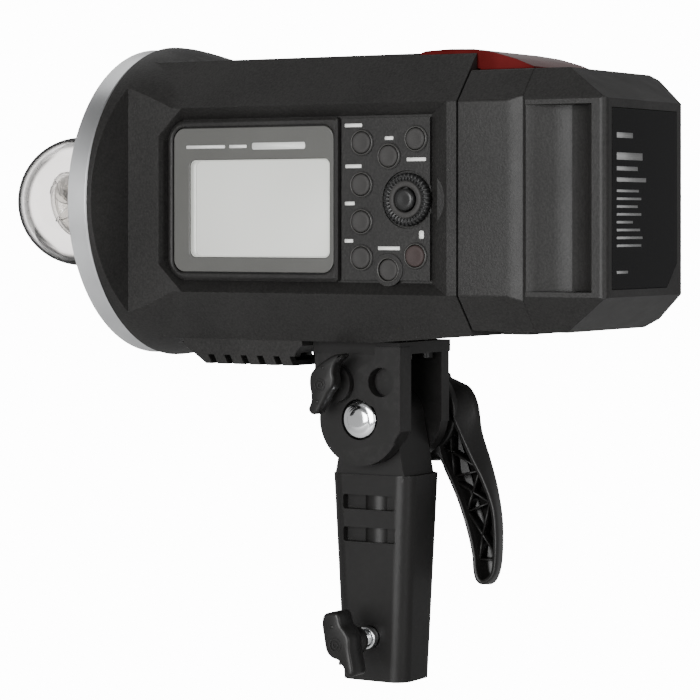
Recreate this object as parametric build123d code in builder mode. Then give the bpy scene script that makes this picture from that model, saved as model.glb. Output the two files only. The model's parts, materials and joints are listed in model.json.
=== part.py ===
from build123d import *
import os
from math import cos, sin, radians, pi

os.makedirs("parts", exist_ok=True)

# Battery powered studio strobe head on a tilting stand bracket, in millimetres.
# Origin: centre of the mouth of the stand socket. +Z up, +Y to the battery end,
# +X to the display side.

# ---------------------------------------------------------------- dimensions
AXIS_Z = 185.0  # optical axis above the socket mouth
FRONT_Y = -108.8  # front face of the ring
RING_R = 61.5
RING_L = 10.35
SIDE_X = 43.2  # half width of the casing
TOP_Z = 54.6  # casing top above the optical axis
BOT_Z = -54.2
SEAM_L = 164.3  # ring front to the battery seam
END_L = 224.9  # ring front to the rear face
FLOOR_X = 38.6  # floor of the display recess
PIVOT_Z = 101.0  # tilt axis
SOCKET_R = 8.1  # for a 16 mm spigot
SOCKET_L = 50.0
UMBRELLA_R = 4.2  # for an 8 mm shaft
UMBRELLA_Z = 114.6
BUTTON_TRAVEL = 1.0
WALL = 2.4


def yy(v):
    return v + FRONT_Y


def zz(v):
    return v + AXIS_Z


# the profile of the casing, from the seam with the battery seen along +Y
CHAMFER_TOP = (26.9, TOP_Z)
CHAMFER_SIDE = 35.45


def octagon_points(x, zs, xt, zt, xb, zb):
    return [
        (x, zz(-zs)), (x, zz(zs)), (xt, zz(zt)), (-xt, zz(zt)),
        (-x, zz(zs)), (-x, zz(-zs)), (-xb, zz(zb)), (xb, zz(zb)),
    ]


# a plane across the optical axis whose local x is +X and local y is +Z
def across(y):
    return Plane(origin=(0, y, 0), x_dir=(1, 0, 0), z_dir=(0, -1, 0))


# a plane across X whose local x is +Y and local y is +Z
def side(x):
    return Plane(origin=(x, 0, 0), x_dir=(0, 1, 0), z_dir=(1, 0, 0))


# a plane that holds the optical axis: local x is the radius, local y is +Y
RADIAL = Plane(origin=(0, FRONT_Y, AXIS_Z), x_dir=(1, 0, 0), z_dir=(0, 0, -1))
OPTICAL = Axis((0, FRONT_Y, AXIS_Z), (0, 1, 0))

# bracket screws, in x and y
BRACKET_SCREWS = [(-7.0, yy(106.6)), (9.0, yy(106.6)), (-7.0, yy(122.5)), (9.0, yy(122.5))]
# centre of the dial, from the ring front and the optical axis
DIAL = (142.0, -0.25)
BUTTONS = {
    "button_mode": (122.4, 21.1),
    "button_menu": (122.2, 5.4),
    "button_hss": (122.2, -8.4),
    "button_lamp": (122.2, -21.9),
    "button_sync": (134.1, 15.9),
    "button_group": (145.7, 22.2),
    "button_test": (145.5, -21.1),
    "button_power": (133.9, -26.3),
}

written = []


def save(shape, label):
    shape.label = label
    export_step(shape, "parts/" + label + ".step")
    written.append(label)


# ------------------------------------------------------------- front mount
with BuildPart() as front_ring:
    with BuildSketch(RADIAL):
        with BuildLine():
            Polyline(
                (50.0, -1.2 + 1.2), (59.9, 0), (61.5, -1.4), (61.5, -RING_L + 1.0),
                (60.6, -RING_L), (50.0, -RING_L), close=True,
            )
        make_face()
    revolve(axis=OPTICAL)
    # three screws hold the ring from the front
    with BuildSketch(across(FRONT_Y)):
        with Locations((0, AXIS_Z)):
            with PolarLocations(55.5, 3, start_angle=30):
                Circle(1.7)
    extrude(amount=-3.0, mode=Mode.SUBTRACT)
    # the modifier latch passes through a slot in the far upper side of the ring
    with BuildSketch(across(yy(3.2))):
        with Locations(Location((0, AXIS_Z, 0), (0, 0, 150))):
            with Locations((55, 0)):
                Rectangle(16, 8.4)
    extrude(amount=-8.0, mode=Mode.SUBTRACT)

with BuildPart() as bayonet_plate:
    with BuildSketch(across(yy(3.6))):
        with Locations((0, AXIS_Z)):
            Circle(49.9)
            Circle(43.0, mode=Mode.SUBTRACT)
            with PolarLocations(43.4, 3, start_angle=90):
                Rectangle(7.0, 26.0, mode=Mode.SUBTRACT)
    extrude(amount=-3.0)

with BuildPart() as modifier_latch:
    with BuildSketch(across(yy(4.0))):
        with Locations(Location((0, AXIS_Z, 0), (0, 0, 150))):
            with Locations((57.2, 0)):
                Rectangle(11.8, 7.6)
    extrude(amount=-5.0)
    with BuildSketch(across(yy(2.0))):
        with Locations(Location((0, AXIS_Z, 0), (0, 0, 150))):
            with Locations((64.8, 0)):
                Rectangle(5.6, 11.0)
    extrude(amount=-8.0)

with BuildPart() as reflector_dish:
    with BuildSketch(RADIAL):
        with BuildLine():
            Polyline(
                (49.5, -7.4), (49.5, -8.6), (44.0, -9.6), (33.0, -13.2), (30.0, -13.2),
                (30.0, -11.8), (32.6, -11.8), (43.4, -8.2), (45.0, -7.4), close=True,
            )
        make_face()
    revolve(axis=OPTICAL)

with BuildPart() as tube_socket:
    with BuildSketch(RADIAL):
        with BuildLine():
            Polyline((0, -4), (24.0, -4), (24.0, -11.6), (29.7, -11.6), (29.7, -16.5), (0, -16.5), close=True)
        make_face()
    revolve(axis=OPTICAL)
    # two sockets for the tube's pins
    with BuildSketch(across(yy(4))):
        with Locations((-17, AXIS_Z), (17, AXIS_Z)):
            Circle(2.6)
    extrude(amount=-8.0, mode=Mode.SUBTRACT)

with BuildPart() as modelling_lamp:
    with BuildSketch(across(yy(4))):
        with Locations((0, AXIS_Z)):
            Circle(11.0)
    extrude(amount=2.0)
    with BuildSketch(across(yy(2))):
        with Locations((0, AXIS_Z)):
            Circle(6.5)
    extrude(amount=1.6)
    fillet(modelling_lamp.faces().sort_by(Axis.Y)[0].edges(), 1.2)

# two coils of quartz tube ahead of the lamp, on two straight legs
with BuildPart() as flash_tube:
    with BuildLine(Plane(origin=(0, yy(-30), AXIS_Z), x_dir=(1, 0, 0), z_dir=(0, 1, 0))):
        ring_path = CenterArc((0, 0), 17.0, 0, 360)
    with BuildSketch(Plane(origin=(17.0, yy(-30), AXIS_Z), x_dir=(1, 0, 0), z_dir=(0, 0, 1))):
        Circle(3.0)
    sweep(path=ring_path)
    with BuildSketch(across(yy(-30))):
        with Locations((-17, AXIS_Z), (17, AXIS_Z)):
            Circle(2.5)
    extrude(amount=-41.0)

with BuildPart() as glass_dome:
    with BuildSketch(RADIAL):
        with BuildLine():
            Polyline((24.3, -11.4), (29.5, -11.4), (29.5, -9.4), (26.6, -7.6), (26.6, 38.0))
            CenterArc((0, 38.0), 26.6, 0, 90)
            Line((0, 64.6), (0, 62.3))
            CenterArc((0, 38.0), 24.3, 0, 90)
            Line((24.3, 38.0), (24.3, -11.4))
        make_face()
    revolve(axis=OPTICAL)

# ------------------------------------------------------------- main casing
CASE = octagon_points(SIDE_X, CHAMFER_SIDE, 26.9, TOP_Z, 27.2, BOT_Z)

with BuildPart() as casing:
    with BuildSketch(across(yy(RING_L))):
        with BuildLine():
            Polyline(*CASE, close=True)
        make_face()
    extrude(amount=-(SEAM_L - RING_L))
    # flare behind the ring
    with BuildSketch(RADIAL):
        with BuildLine():
            Polyline(
                (0, -RING_L), (61.8, -RING_L), (62.3, -RING_L - 0.6), (62.2, -12.6), (61.7, -16.4),
                (60.6, -21.3), (59.3, -26.2), (57.9, -31.0), (56.5, -35.9),
                (54.4, -43.0), (40.0, -44.0), (0, -44.0), close=True,
            )
        make_face()
    revolve(axis=OPTICAL)
    # planar shoulders at both sides
    with BuildSketch(Plane.XY.offset(zz(-70))):
        with BuildLine():
            Polyline((SIDE_X, yy(17.0)), (75, yy(9.9)), (75, yy(60)), (SIDE_X, yy(60)), close=True)
        make_face()
        with BuildLine():
            Polyline((-SIDE_X, yy(17.0)), (-75, yy(9.9)), (-75, yy(60)), (-SIDE_X, yy(60)), close=True)
        make_face()
    extrude(amount=140, mode=Mode.SUBTRACT)
    # the underside rises towards the battery
    with BuildSketch(Plane.YZ.offset(-50)):
        with BuildLine():
            Polyline((yy(119), zz(BOT_Z)), (yy(166), zz(-50.6)), (yy(166), zz(-60)), (yy(119), zz(-60)), close=True)
        make_face()
    extrude(amount=100, mode=Mode.SUBTRACT)
    # air intake block below the front
    with BuildSketch(across(yy(32.0))):
        with BuildLine():
            Polyline((29.0, zz(-52)), (27.2, zz(BOT_Z)), (25.4, zz(-64.0)), (-25.4, zz(-64.0)),
                     (-27.2, zz(BOT_Z)), (-29.0, zz(-52)), close=True)
        make_face()
    extrude(amount=-55.4)
    with BuildSketch(Plane.YZ.offset(-50)):
        with BuildLine():
            Polyline((yy(26), zz(-56.0)), (yy(30.6), zz(-55.6)), (yy(42.0), zz(-64.2)), (yy(42.0), zz(-70)), (yy(26), zz(-70)), close=True)
        make_face()
    extrude(amount=100, mode=Mode.SUBTRACT)
    # a round relief ahead of the bracket
    with BuildSketch(Plane.YZ.offset(-50)):
        with Locations((yy(90.0), zz(-62.6))):
            Circle(7.0)
    extrude(amount=100, mode=Mode.SUBTRACT)
    # recess on the display side
    with BuildSketch(side(FLOOR_X)):
        with BuildLine():
            Polyline((yy(40.5), zz(-31.2)), (yy(151.6), zz(-31.2)), (yy(151.6), zz(31.2)), (yy(40.5), zz(31.2)))
            Line((yy(40.5), zz(31.2)), (yy(33.0), zz(23.5)))
            Line((yy(33.0), zz(23.5)), (yy(33.0), zz(-23.5)))
            Line((yy(33.0), zz(-23.5)), (yy(40.5), zz(-31.2)))
        make_face()
    with BuildSketch(side(SIDE_X + 0.4)):
        with BuildLine():
            Polyline((yy(42.5), zz(-36.0)), (yy(161.0), zz(-36.0)), (yy(161.0), zz(36.0)), (yy(42.5), zz(36.0)))
            Line((yy(42.5), zz(36.0)), (yy(31.2), zz(25.0)))
            Line((yy(31.2), zz(25.0)), (yy(31.2), zz(-25.0)))
            Line((yy(31.2), zz(-25.0)), (yy(42.5), zz(-36.0)))
        make_face()
    loft(ruled=True, mode=Mode.SUBTRACT)
    # thumb scoop beside the dial
    with BuildSketch(side(FLOOR_X + 1.6)):
        with Locations((yy(149.5), zz(-0.25))):
            Circle(9.4)
    extrude(amount=8.0, mode=Mode.SUBTRACT)
    # hollow inside
    with BuildSketch(across(yy(13.6))):
        with BuildLine():
            Polyline(
                (35.4, zz(-34.0)), (35.4, zz(34.0)), (23.5, zz(51.8)), (-25.0, zz(51.8)), (-40.6, zz(34.4)),
                (-40.6, zz(-34.4)), (-25.6, zz(-47.6)), (23.5, zz(-47.6)), close=True,
            )
        make_face()
    extrude(amount=-147.0, mode=Mode.SUBTRACT)
    # the hollow reaches down into the intake block
    with BuildSketch(across(yy(46.0))):
        with Locations((0, zz(-54.0))):
            Rectangle(44.0, 16.0)
    extrude(amount=-38.0, mode=Mode.SUBTRACT)
    with BuildSketch(across(yy(RING_L - 1))):
        with Locations((0, AXIS_Z)):
            Circle(49.7)
    extrude(amount=-6.0, mode=Mode.SUBTRACT)
    # intake slots along both lower edges
    with BuildSketch(Plane.YZ.offset(-60)):
        for k in range(6):
            c = yy(45.2 + 7.6 * k)
            with BuildLine():
                Polyline((c - 2.2, zz(-60.4)), (c + 0.6, zz(-60.4)), (c + 2.6, zz(-65.5)), (c - 0.2, zz(-65.5)), close=True)
            make_face()
    extrude(amount=120, mode=Mode.SUBTRACT)
    # window opening in the top
    with BuildSketch(Plane.XY.offset(zz(48))):
        with Locations((0, yy(152.4))):
            Rectangle(55.0, 26.0)
    extrude(amount=20, mode=Mode.SUBTRACT)
    # opening behind the display and holes behind the controls
    with BuildSketch(side(30)):
        with Locations((yy(75.5), zz(-3.3))):
            Rectangle(58.0, 36.0)
        with Locations((yy(DIAL[0]), zz(DIAL[1]))):
            Circle(4.4)
        for u, v in BUTTONS.values():
            with Locations((yy(u), zz(v))):
                Circle(2.2)
    extrude(amount=10, mode=Mode.SUBTRACT)
    # opening behind the port panel on the far side
    with BuildSketch(side(-50)):
        with Locations((yy(128.0), zz(-6.0))):
            Rectangle(38.0, 42.0)
    extrude(amount=20, mode=Mode.SUBTRACT)
    # holes for the bracket screws
    with BuildSketch(Plane.XY.offset(zz(-60))):
        with Locations(*BRACKET_SCREWS):
            Circle(1.6)
    extrude(amount=12, mode=Mode.SUBTRACT)
    # slot for the hook of the battery latch
    with BuildSketch(across(yy(SEAM_L - 3.8))):
        with Locations((0, zz(-46.3))):
            Rectangle(12.0, 4.6)
    extrude(amount=-8, mode=Mode.SUBTRACT)
    # room for its barb in the casing's floor
    with BuildSketch(Plane.YZ.offset(-6)):
        with Locations((yy(SEAM_L - 4.7), zz(-48.0))):
            Rectangle(3.4, 4.0)
    extrude(amount=12, mode=Mode.SUBTRACT)
    # socket for the contacts in the rear wall
    with BuildSketch(across(yy(158))):
        with Locations((0, zz(-14))):
            Rectangle(30, 9)
    extrude(amount=-12, mode=Mode.SUBTRACT)

# screws that hold the two shells together, from the far side
SCREWS = [(24.0, 42.5), (24.0, -44.0), (104.0, 44.5), (110.0, -43.5), (157.2, 32.0), (157.2, -36.0)]

near = split(casing.part, bisect_by=Plane.YZ, keep=Keep.TOP)
far = split(casing.part, bisect_by=Plane.YZ, keep=Keep.BOTTOM)

with BuildPart() as near_housing:
    add(near)

with BuildPart() as far_housing:
    add(far)
    with BuildSketch(side(-60)):
        for s in SCREWS:
            with Locations((yy(s[0]), zz(s[1]))):
                Circle(3.2)
    extrude(amount=30.0, mode=Mode.SUBTRACT)
    # a pillar below each screw head
    with BuildSketch(side(-34.0)):
        for s in SCREWS:
            with Locations((yy(s[0]), zz(s[1]))):
                Circle(4.4)
    extrude(amount=34.0)
    with BuildSketch(side(-36.0)):
        for s in SCREWS:
            with Locations((yy(s[0]), zz(s[1]))):
                Circle(3.2)
    extrude(amount=6.0, mode=Mode.SUBTRACT)
    with BuildSketch(side(-31.0)):
        for s in SCREWS:
            with Locations((yy(s[0]), zz(s[1]))):
                Circle(1.55)
    extrude(amount=31.0, mode=Mode.SUBTRACT)

with BuildPart() as near_pillars:
    with BuildSketch(side(0)):
        for s in SCREWS:
            with Locations((yy(s[0]), zz(s[1]))):
                Circle(4.4)
    extrude(amount=31.5)
    with BuildSketch(side(0)):
        for s in SCREWS:
            with Locations((yy(s[0]), zz(s[1]))):
                Circle(1.55)
    extrude(amount=8.0, mode=Mode.SUBTRACT)

with BuildPart() as near_shell:
    add(near_housing.part)
    add(near_pillars.part)

with BuildPart() as housing_screws:
    with BuildSketch(side(-30.0)):
        for s in SCREWS:
            with Locations((yy(s[0]), zz(s[1]))):
                Circle(2.9)
    extrude(amount=-2.4)
    with BuildSketch(side(-30.0)):
        for s in SCREWS:
            with Locations((yy(s[0]), zz(s[1]))):
                Circle(1.5)
    extrude(amount=37.0)
    with BuildSketch(side(-32.4)):
        for s in SCREWS:
            with Locations((yy(s[0]), zz(s[1]))):
                RegularPolygon(1.4, 6)
    extrude(amount=1.4, mode=Mode.SUBTRACT)

# ------------------------------------------------------------- display
FRAME = [(34.6, -23.0), (34.6, 23.0), (42.0, 30.9), (112.2, 30.9), (112.2, -30.9), (42.0, -30.9)]

with BuildPart() as display_frame:
    with BuildSketch(side(FLOOR_X)) as frame_outline:
        with BuildLine():
            Polyline(*[(yy(u), zz(v)) for u, v in FRAME], close=True)
        make_face()
        fillet(frame_outline.vertices(), 2.4)
    extrude(amount=2.6)
    with BuildSketch(side(FLOOR_X + 2.6)) as frame_top:
        with BuildLine():
            Polyline(*[(yy(u), zz(v)) for u, v in FRAME], close=True)
        make_face()
        fillet(frame_top.vertices(), 2.4)
    extrude(amount=0.9, taper=40)
    with BuildSketch(side(FLOOR_X + 1.4)):
        with Locations((yy(74.1), AXIS_Z)):
            RectangleRounded(73.4, 55.8, 5.0)
    extrude(amount=3.0, mode=Mode.SUBTRACT)
    with BuildSketch(side(FLOOR_X)):
        with Locations((yy(76.9), zz(-3.3))):
            Rectangle(64.4, 38.0)
    extrude(amount=3.0, mode=Mode.SUBTRACT)

with BuildPart() as display_plate:
    with BuildSketch(side(FLOOR_X + 1.4)):
        with Locations((yy(74.1), AXIS_Z)):
            RectangleRounded(73.0, 55.4, 4.8)
        with Locations((yy(76.9), zz(-3.35))):
            RectangleRounded(63.8, 37.5, 2.4, mode=Mode.SUBTRACT)
    extrude(amount=1.5)

with BuildPart() as lcd_window:
    with BuildSketch(side(FLOOR_X + 0.9)):
        with Locations((yy(76.9), zz(-3.35))):
            RectangleRounded(63.6, 37.3, 2.3)
    extrude(amount=1.5)

with BuildPart() as lcd_panel:
    with BuildSketch(side(FLOOR_X - 4.6)):
        with Locations((yy(75.5), zz(-3.3))):
            Rectangle(57.6, 35.6)
    extrude(amount=5.4)

# ------------------------------------------------------------- controls
with BuildPart() as control_plate:
    with BuildSketch(side(FLOOR_X)):
        with Locations((yy(132.5), AXIS_Z)):
            Rectangle(38.0, 60.4)
    extrude(amount=1.6)
    with BuildSketch(side(FLOOR_X)):
        for name, (u, v) in BUTTONS.items():
            with Locations((yy(u), zz(v))):
                Circle(4.3)
    extrude(amount=1.6, mode=Mode.SUBTRACT)
    with BuildSketch(side(FLOOR_X + 0.6)):
        with Locations((yy(DIAL[0]), zz(DIAL[1]))):
            Circle(10.8)
    extrude(amount=1.6, mode=Mode.SUBTRACT)
    with BuildSketch(side(FLOOR_X)):
        with Locations((yy(DIAL[0]), zz(DIAL[1]))):
            Circle(4.4)
    extrude(amount=1.6, mode=Mode.SUBTRACT)
    # raised rims round the buttons
    with BuildSketch(side(FLOOR_X + 1.6)):
        for name, (u, v) in BUTTONS.items():
            if name != "button_power":
                with Locations((yy(u), zz(v))):
                    Circle(4.75)
                    Circle(4.3, mode=Mode.SUBTRACT)
    extrude(amount=0.3)


def make_button(u, v, proud):
    with BuildPart() as b:
        with BuildSketch(side(FLOOR_X + 1.2)):
            with Locations((yy(u), zz(v))):
                Circle(4.0)
        extrude(amount=proud)
        fillet(b.faces().sort_by(Axis.X)[-1].edges(), 0.6)
        with BuildSketch(side(34.0)):
            with Locations((yy(u), zz(v))):
                Circle(1.9)
        extrude(amount=FLOOR_X + 1.6 - 34.0)
    return b.part


with BuildPart() as select_dial:
    with BuildSketch(side(FLOOR_X + 0.9)):
        with Locations((yy(DIAL[0]), zz(DIAL[1]))):
            Circle(9.9)
            Circle(5.1, mode=Mode.SUBTRACT)
            with PolarLocations(10.1, 36):
                Circle(0.42, mode=Mode.SUBTRACT)
    extrude(amount=2.9)
    with BuildSketch(side(34.0)):
        with Locations((yy(DIAL[0]), zz(DIAL[1]))):
            Circle(4.1)
            Circle(2.6, mode=Mode.SUBTRACT)
    extrude(amount=6.0)
    with BuildSketch(side(FLOOR_X + 0.9)):
        with Locations((yy(DIAL[0]), zz(DIAL[1]))):
            Circle(5.4)
            Circle(2.6, mode=Mode.SUBTRACT)
    extrude(amount=0.8)

with BuildPart() as dial_button:
    with BuildSketch(side(FLOOR_X + 3.0)):
        with Locations((yy(DIAL[0]), zz(DIAL[1]))):
            Circle(4.15)
    extrude(amount=2.0)
    fillet(dial_button.faces().sort_by(Axis.X)[-1].edges(), 0.7)
    with BuildSketch(side(31.0)):
        with Locations((yy(DIAL[0]), zz(DIAL[1]))):
            Circle(2.0)
    extrude(amount=FLOOR_X + 3.2 - 31.0)

with BuildPart() as dial_encoder:
    with BuildSketch(side(28.6)):
        with Locations((yy(DIAL[0]), zz(DIAL[1]))):
            RectangleRounded(12, 12, 1)
    extrude(amount=4.8)
    with BuildSketch(side(29.5)):
        with Locations((yy(DIAL[0]), zz(DIAL[1]))):
            Circle(2.4)
    extrude(amount=6.0, mode=Mode.SUBTRACT)

# the switches stand on the board, one below each button
with BuildPart() as button_board:
    with BuildSketch(side(27.0)):
        with Locations((yy(132.5), AXIS_Z)):
            Rectangle(36, 60)
    extrude(amount=1.6)
    with BuildSketch(side(28.6)):
        for name, (u, v) in BUTTONS.items():
            with Locations((yy(u), zz(v))):
                Rectangle(6, 6)
    extrude(amount=3.2)
    with BuildSketch(side(31.8)):
        for name, (u, v) in BUTTONS.items():
            with Locations((yy(u), zz(v))):
                Circle(1.7)
    extrude(amount=0.9)

# ------------------------------------------------------------- inside
with BuildPart() as main_board:
    with BuildSketch(Plane.XY.offset(zz(-30))):
        with Locations((-4, yy(92))):
            Rectangle(58, 116)
    extrude(amount=1.6)
    with BuildSketch(Plane.XY.offset(zz(-28.4))):
        with Locations((-22, yy(60)), (10, yy(58)), (12, yy(132))):
            Rectangle(14, 18)
    extrude(amount=9.0)

with BuildPart() as flash_capacitors:
    with BuildSketch(across(yy(44.0))):
        with Locations((-20.5, zz(16)), (10.5, zz(16)), (-20.5, zz(-4.0) - 10.6), (10.5, zz(-4.0) - 10.6)):
            pass
        with Locations((-20.0, zz(20.0)), (10.0, zz(20.0)), (-20.0, zz(-4.5)), (10.0, zz(-4.5))):
            Circle(11.6)
    extrude(amount=-68.0)
    chamfer(flash_capacitors.edges().filter_by(GeomType.CIRCLE), 1.2)

with BuildPart() as heat_sink:
    with BuildSketch(across(yy(16.9))):
        with Locations((0, AXIS_Z)):
            Circle(27.0)
    extrude(amount=-4.0)
    with BuildSketch(across(yy(20.9))):
        with Locations((0, AXIS_Z)):
            with GridLocations(6.0, 1, 8, 1):
                Rectangle(1.6, 34)
    extrude(amount=-10.0)

with BuildPart() as cooling_fan:
    with BuildSketch(across(yy(32.4))):
        with Locations((0, AXIS_Z)):
            RectangleRounded(50, 50, 4)
            Circle(23.0, mode=Mode.SUBTRACT)
            Circle(9.5)
            with PolarLocations(16.2, 7):
                Rectangle(15.4, 3.0)
    extrude(amount=-9.6)

# ------------------------------------------------------------- top window
with BuildPart() as sensor_window:
    with BuildSketch(Plane.YZ.offset(-26.6)):
        with BuildLine():
            Polyline((yy(139.6), zz(48.2)), (yy(139.6), zz(54.6)), (yy(141.5), zz(55.4)), (yy(152), zz(55.9)))
            Polyline((yy(152), zz(55.9)), (yy(162), zz(55.6)), (yy(171), zz(54.0)), (yy(180), zz(51.4)),
                     (yy(187.5), zz(48.4)))
            Polyline((yy(187.5), zz(48.4)), (yy(187.5), zz(47.7)), (yy(165.2), zz(47.7)), (yy(165.2), zz(48.2)), (yy(139.6), zz(48.2)))
        make_face()
    extrude(amount=53.2)
    # its sides follow the casing's slopes
    for s in (1, -1):
        with BuildSketch(across(yy(130))):
            with BuildLine():
                Polyline((s * 32.3, zz(47.9)), (s * 24.8, zz(57.0)), (s * 40, zz(57.0)), (s * 40, zz(47.9)), close=True)
            make_face()
        extrude(amount=-70, mode=Mode.SUBTRACT)
    # hollow below
    with BuildSketch(Plane.XY.offset(zz(46))):
        with Locations((0, yy(151.6))):
            Rectangle(46.0, 20.0)
    extrude(amount=7.0, mode=Mode.SUBTRACT)

with BuildPart() as slave_sensor:
    with BuildSketch(Plane.XY.offset(zz(42))):
        with Locations((0, yy(151.6))):
            Rectangle(30, 14)
    extrude(amount=1.6)
    with BuildSketch(Plane.XY.offset(zz(43.6))):
        with Locations((-8, yy(151.6)), (8, yy(151.6))):
            Circle(3.0)
    extrude(amount=5.0)

# ------------------------------------------------------------- port panel
with BuildPart() as port_panel:
    with BuildSketch(side(-SIDE_X)):
        with Locations((yy(128.0), zz(-6.0))):
            RectangleRounded(37.6, 41.6, 0.6)
    extrude(amount=3.0)
    # modelling of the sockets: two round jacks, a small one and a power inlet
    with BuildSketch(side(-SIDE_X)):
        with Locations((yy(118.0), zz(4.0)), (yy(118.0), zz(-14.0))):
            Circle(3.2)
        with Locations((yy(136.0), zz(-14.0))):
            RectangleRounded(9.0, 4.0, 1.2)
        with Locations((yy(136.0), zz(4.0))):
            Circle(1.8)
    extrude(amount=2.0, mode=Mode.SUBTRACT)

with BuildPart() as port_cover:
    with BuildSketch(side(-SIDE_X)):
        with Locations((yy(136.0), zz(-14.0))):
            RectangleRounded(13.0, 9.0, 2.0)
    extrude(amount=-1.4)
    with BuildSketch(side(-SIDE_X)):
        with Locations((yy(136.0), zz(-14.0))):
            RectangleRounded(8.6, 3.6, 1.0)
    extrude(amount=1.6)

# ------------------------------------------------------------- battery
BAT_GAP = 0.5
BATTERY = octagon_points(SIDE_X, CHAMFER_SIDE, 33.0, 47.3, 32.0, -48.6)

with BuildPart() as battery_shape:
    with BuildSketch(across(yy(SEAM_L + BAT_GAP))):
        with BuildLine():
            Polyline(*BATTERY, close=True)
        make_face()
    extrude(amount=-(END_L - SEAM_L - BAT_GAP))
    # sloping rear edges, top and bottom, and the far rear corner
    with BuildSketch(Plane.YZ.offset(-60)):
        with BuildLine():
            Polyline((yy(END_L + 1), zz(35.5 - 0.62)), (yy(206.4 - 1.6), zz(46.9 + 0.98)), (yy(206.4), zz(60)), (yy(240), zz(60)), (yy(240), zz(34)), close=True)
        make_face()
        with BuildLine():
            Polyline((yy(END_L + 1), zz(-35.4 + 0.62)), (yy(205 - 1.6), zz(-48.6 - 0.4)), (yy(205), zz(-60)), (yy(240), zz(-60)), (yy(240), zz(-34)), close=True)
        make_face()
    extrude(amount=120, mode=Mode.SUBTRACT)
    with BuildSketch(Plane.XY.offset(zz(-70))):
        with BuildLine():
            Polyline((-20.1, yy(END_L)), (-43.2, yy(200.0)), (-60, yy(200.0)), (-60, yy(240)), (-20.1, yy(240)), close=True)
        make_face()
    extrude(amount=140, mode=Mode.SUBTRACT)
    # grip scoop on the display side, and a shallow dip ahead of it
    with BuildSketch(Plane.XY.offset(zz(-33.6))):
        with BuildLine():
            Polyline((50, yy(192.7)), (42.6, yy(192.7)), (41.0, yy(196.0)), (37.6, yy(201.0)), (35.4, yy(206.0)),
                     (35.0, yy(210.0)), (36.6, yy(214.0)), (40.6, yy(218.2)), (44.0, yy(219.6)), (50, yy(219.6)), close=True)
        make_face()
    extrude(amount=67.2, mode=Mode.SUBTRACT)
    with BuildSketch(Plane.XY.offset(zz(-60))):
        with BuildLine():
            Polyline((50, yy(184.0)), (43.2, yy(185.0)), (42.3, yy(188.5)), (41.7, yy(191.3)), (42.8, yy(192.7)), (50, yy(192.7)), close=True)
        make_face()
    extrude(amount=120, mode=Mode.SUBTRACT)
    # the rounded rear rib
    rib = battery_shape.edges().filter_by(Axis.Z).filter_by_position(Axis.X, 43.0, 43.4).sort_by(Axis.Y)[-1]
    fillet(rib, 2.6)
    # hollow for the cells
    with BuildSketch(across(yy(SEAM_L + 3.0))):
        with Locations((-1.0, zz(-0.5))):
            Rectangle(66.4, 62.0)
    extrude(amount=-38.6, mode=Mode.SUBTRACT)
    # seat of the contacts
    with BuildSketch(across(yy(SEAM_L))):
        with Locations((0, zz(-14))):
            Rectangle(32, 11)
    extrude(amount=-2.6, mode=Mode.SUBTRACT)
    # pocket of the latch below
    with BuildSketch(across(yy(SEAM_L - 1))):
        with Locations((0, zz(-46.2))):
            Rectangle(26.6, 12.0)
    extrude(amount=-19.0, mode=Mode.SUBTRACT)
    # shallow seat for the rear label
    with BuildSketch(across(yy(END_L))):
        with BuildLine():
            Polyline((38.2, zz(-32.7)), (38.2, zz(32.4)), (-16.2, zz(32.4)), (-16.2, zz(-23.8)), (-7.4, zz(-32.7)), close=True)
        make_face()
    extrude(amount=0.8, mode=Mode.SUBTRACT)

cut_plane = Plane(origin=(0, yy(191.3), 0), z_dir=(0, 1, 0))
case_part = split(battery_shape.part, bisect_by=cut_plane, keep=Keep.BOTTOM)
cover_part = split(battery_shape.part, bisect_by=cut_plane, keep=Keep.TOP)

with BuildPart() as battery_case:
    add(case_part)

with BuildPart() as battery_rear_cover:
    add(cover_part)

with BuildPart() as battery_label:
    with BuildSketch(across(yy(END_L - 0.8))):
        with BuildLine():
            Polyline((38.0, zz(-32.5)), (38.0, zz(32.2)), (-16.0, zz(32.2)), (-16.0, zz(-23.7)), (-7.3, zz(-32.5)), close=True)
        make_face()
    extrude(amount=-0.9)

with BuildPart() as battery_cells:
    with BuildSketch(side(-33.6)):
        with Locations((yy(SEAM_L + 22.2), zz(-0.5))):
            with GridLocations(19.0, 20.4, 2, 3):
                Circle(9.2)
    extrude(amount=65.0)

with BuildPart() as battery_contacts:
    with BuildSketch(across(yy(SEAM_L + 0.6))):
        with Locations((0, zz(-14))):
            Rectangle(31.6, 10.6)
    extrude(amount=-1.9)

with BuildPart() as head_contacts:
    with BuildSketch(across(yy(160.0))):
        with Locations((0, zz(-14))):
            Rectangle(29.6, 8.6)
    extrude(amount=-3.9)
    with BuildSketch(across(yy(158.6))):
        with Locations((0, zz(-14))):
            Rectangle(34.0, 12.0)
    extrude(amount=-1.9)

with BuildPart() as battery_latch:
    with BuildSketch(across(yy(SEAM_L + 2.2))):
        with Locations((0, zz(-48.2))):
            Rectangle(25.6, 4.6)
    extrude(amount=-12.0)
    fillet(battery_latch.edges().filter_by(Axis.Z), 1.0)
    # grip ribs below
    with BuildSketch(Plane.YZ.offset(-9)):
        for k in range(4):
            with Locations((yy(SEAM_L + 5.2 + 2.0 * k), zz(-50.5))):
                Circle(0.5)
    extrude(amount=18.0, mode=Mode.SUBTRACT)
    # two blind holes for the springs
    with BuildSketch(Plane.XY.offset(zz(-49.2))):
        with Locations((-7, yy(SEAM_L + 8.2)), (7, yy(SEAM_L + 8.2))):
            Circle(1.6)
    extrude(amount=8.0, mode=Mode.SUBTRACT)

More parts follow.
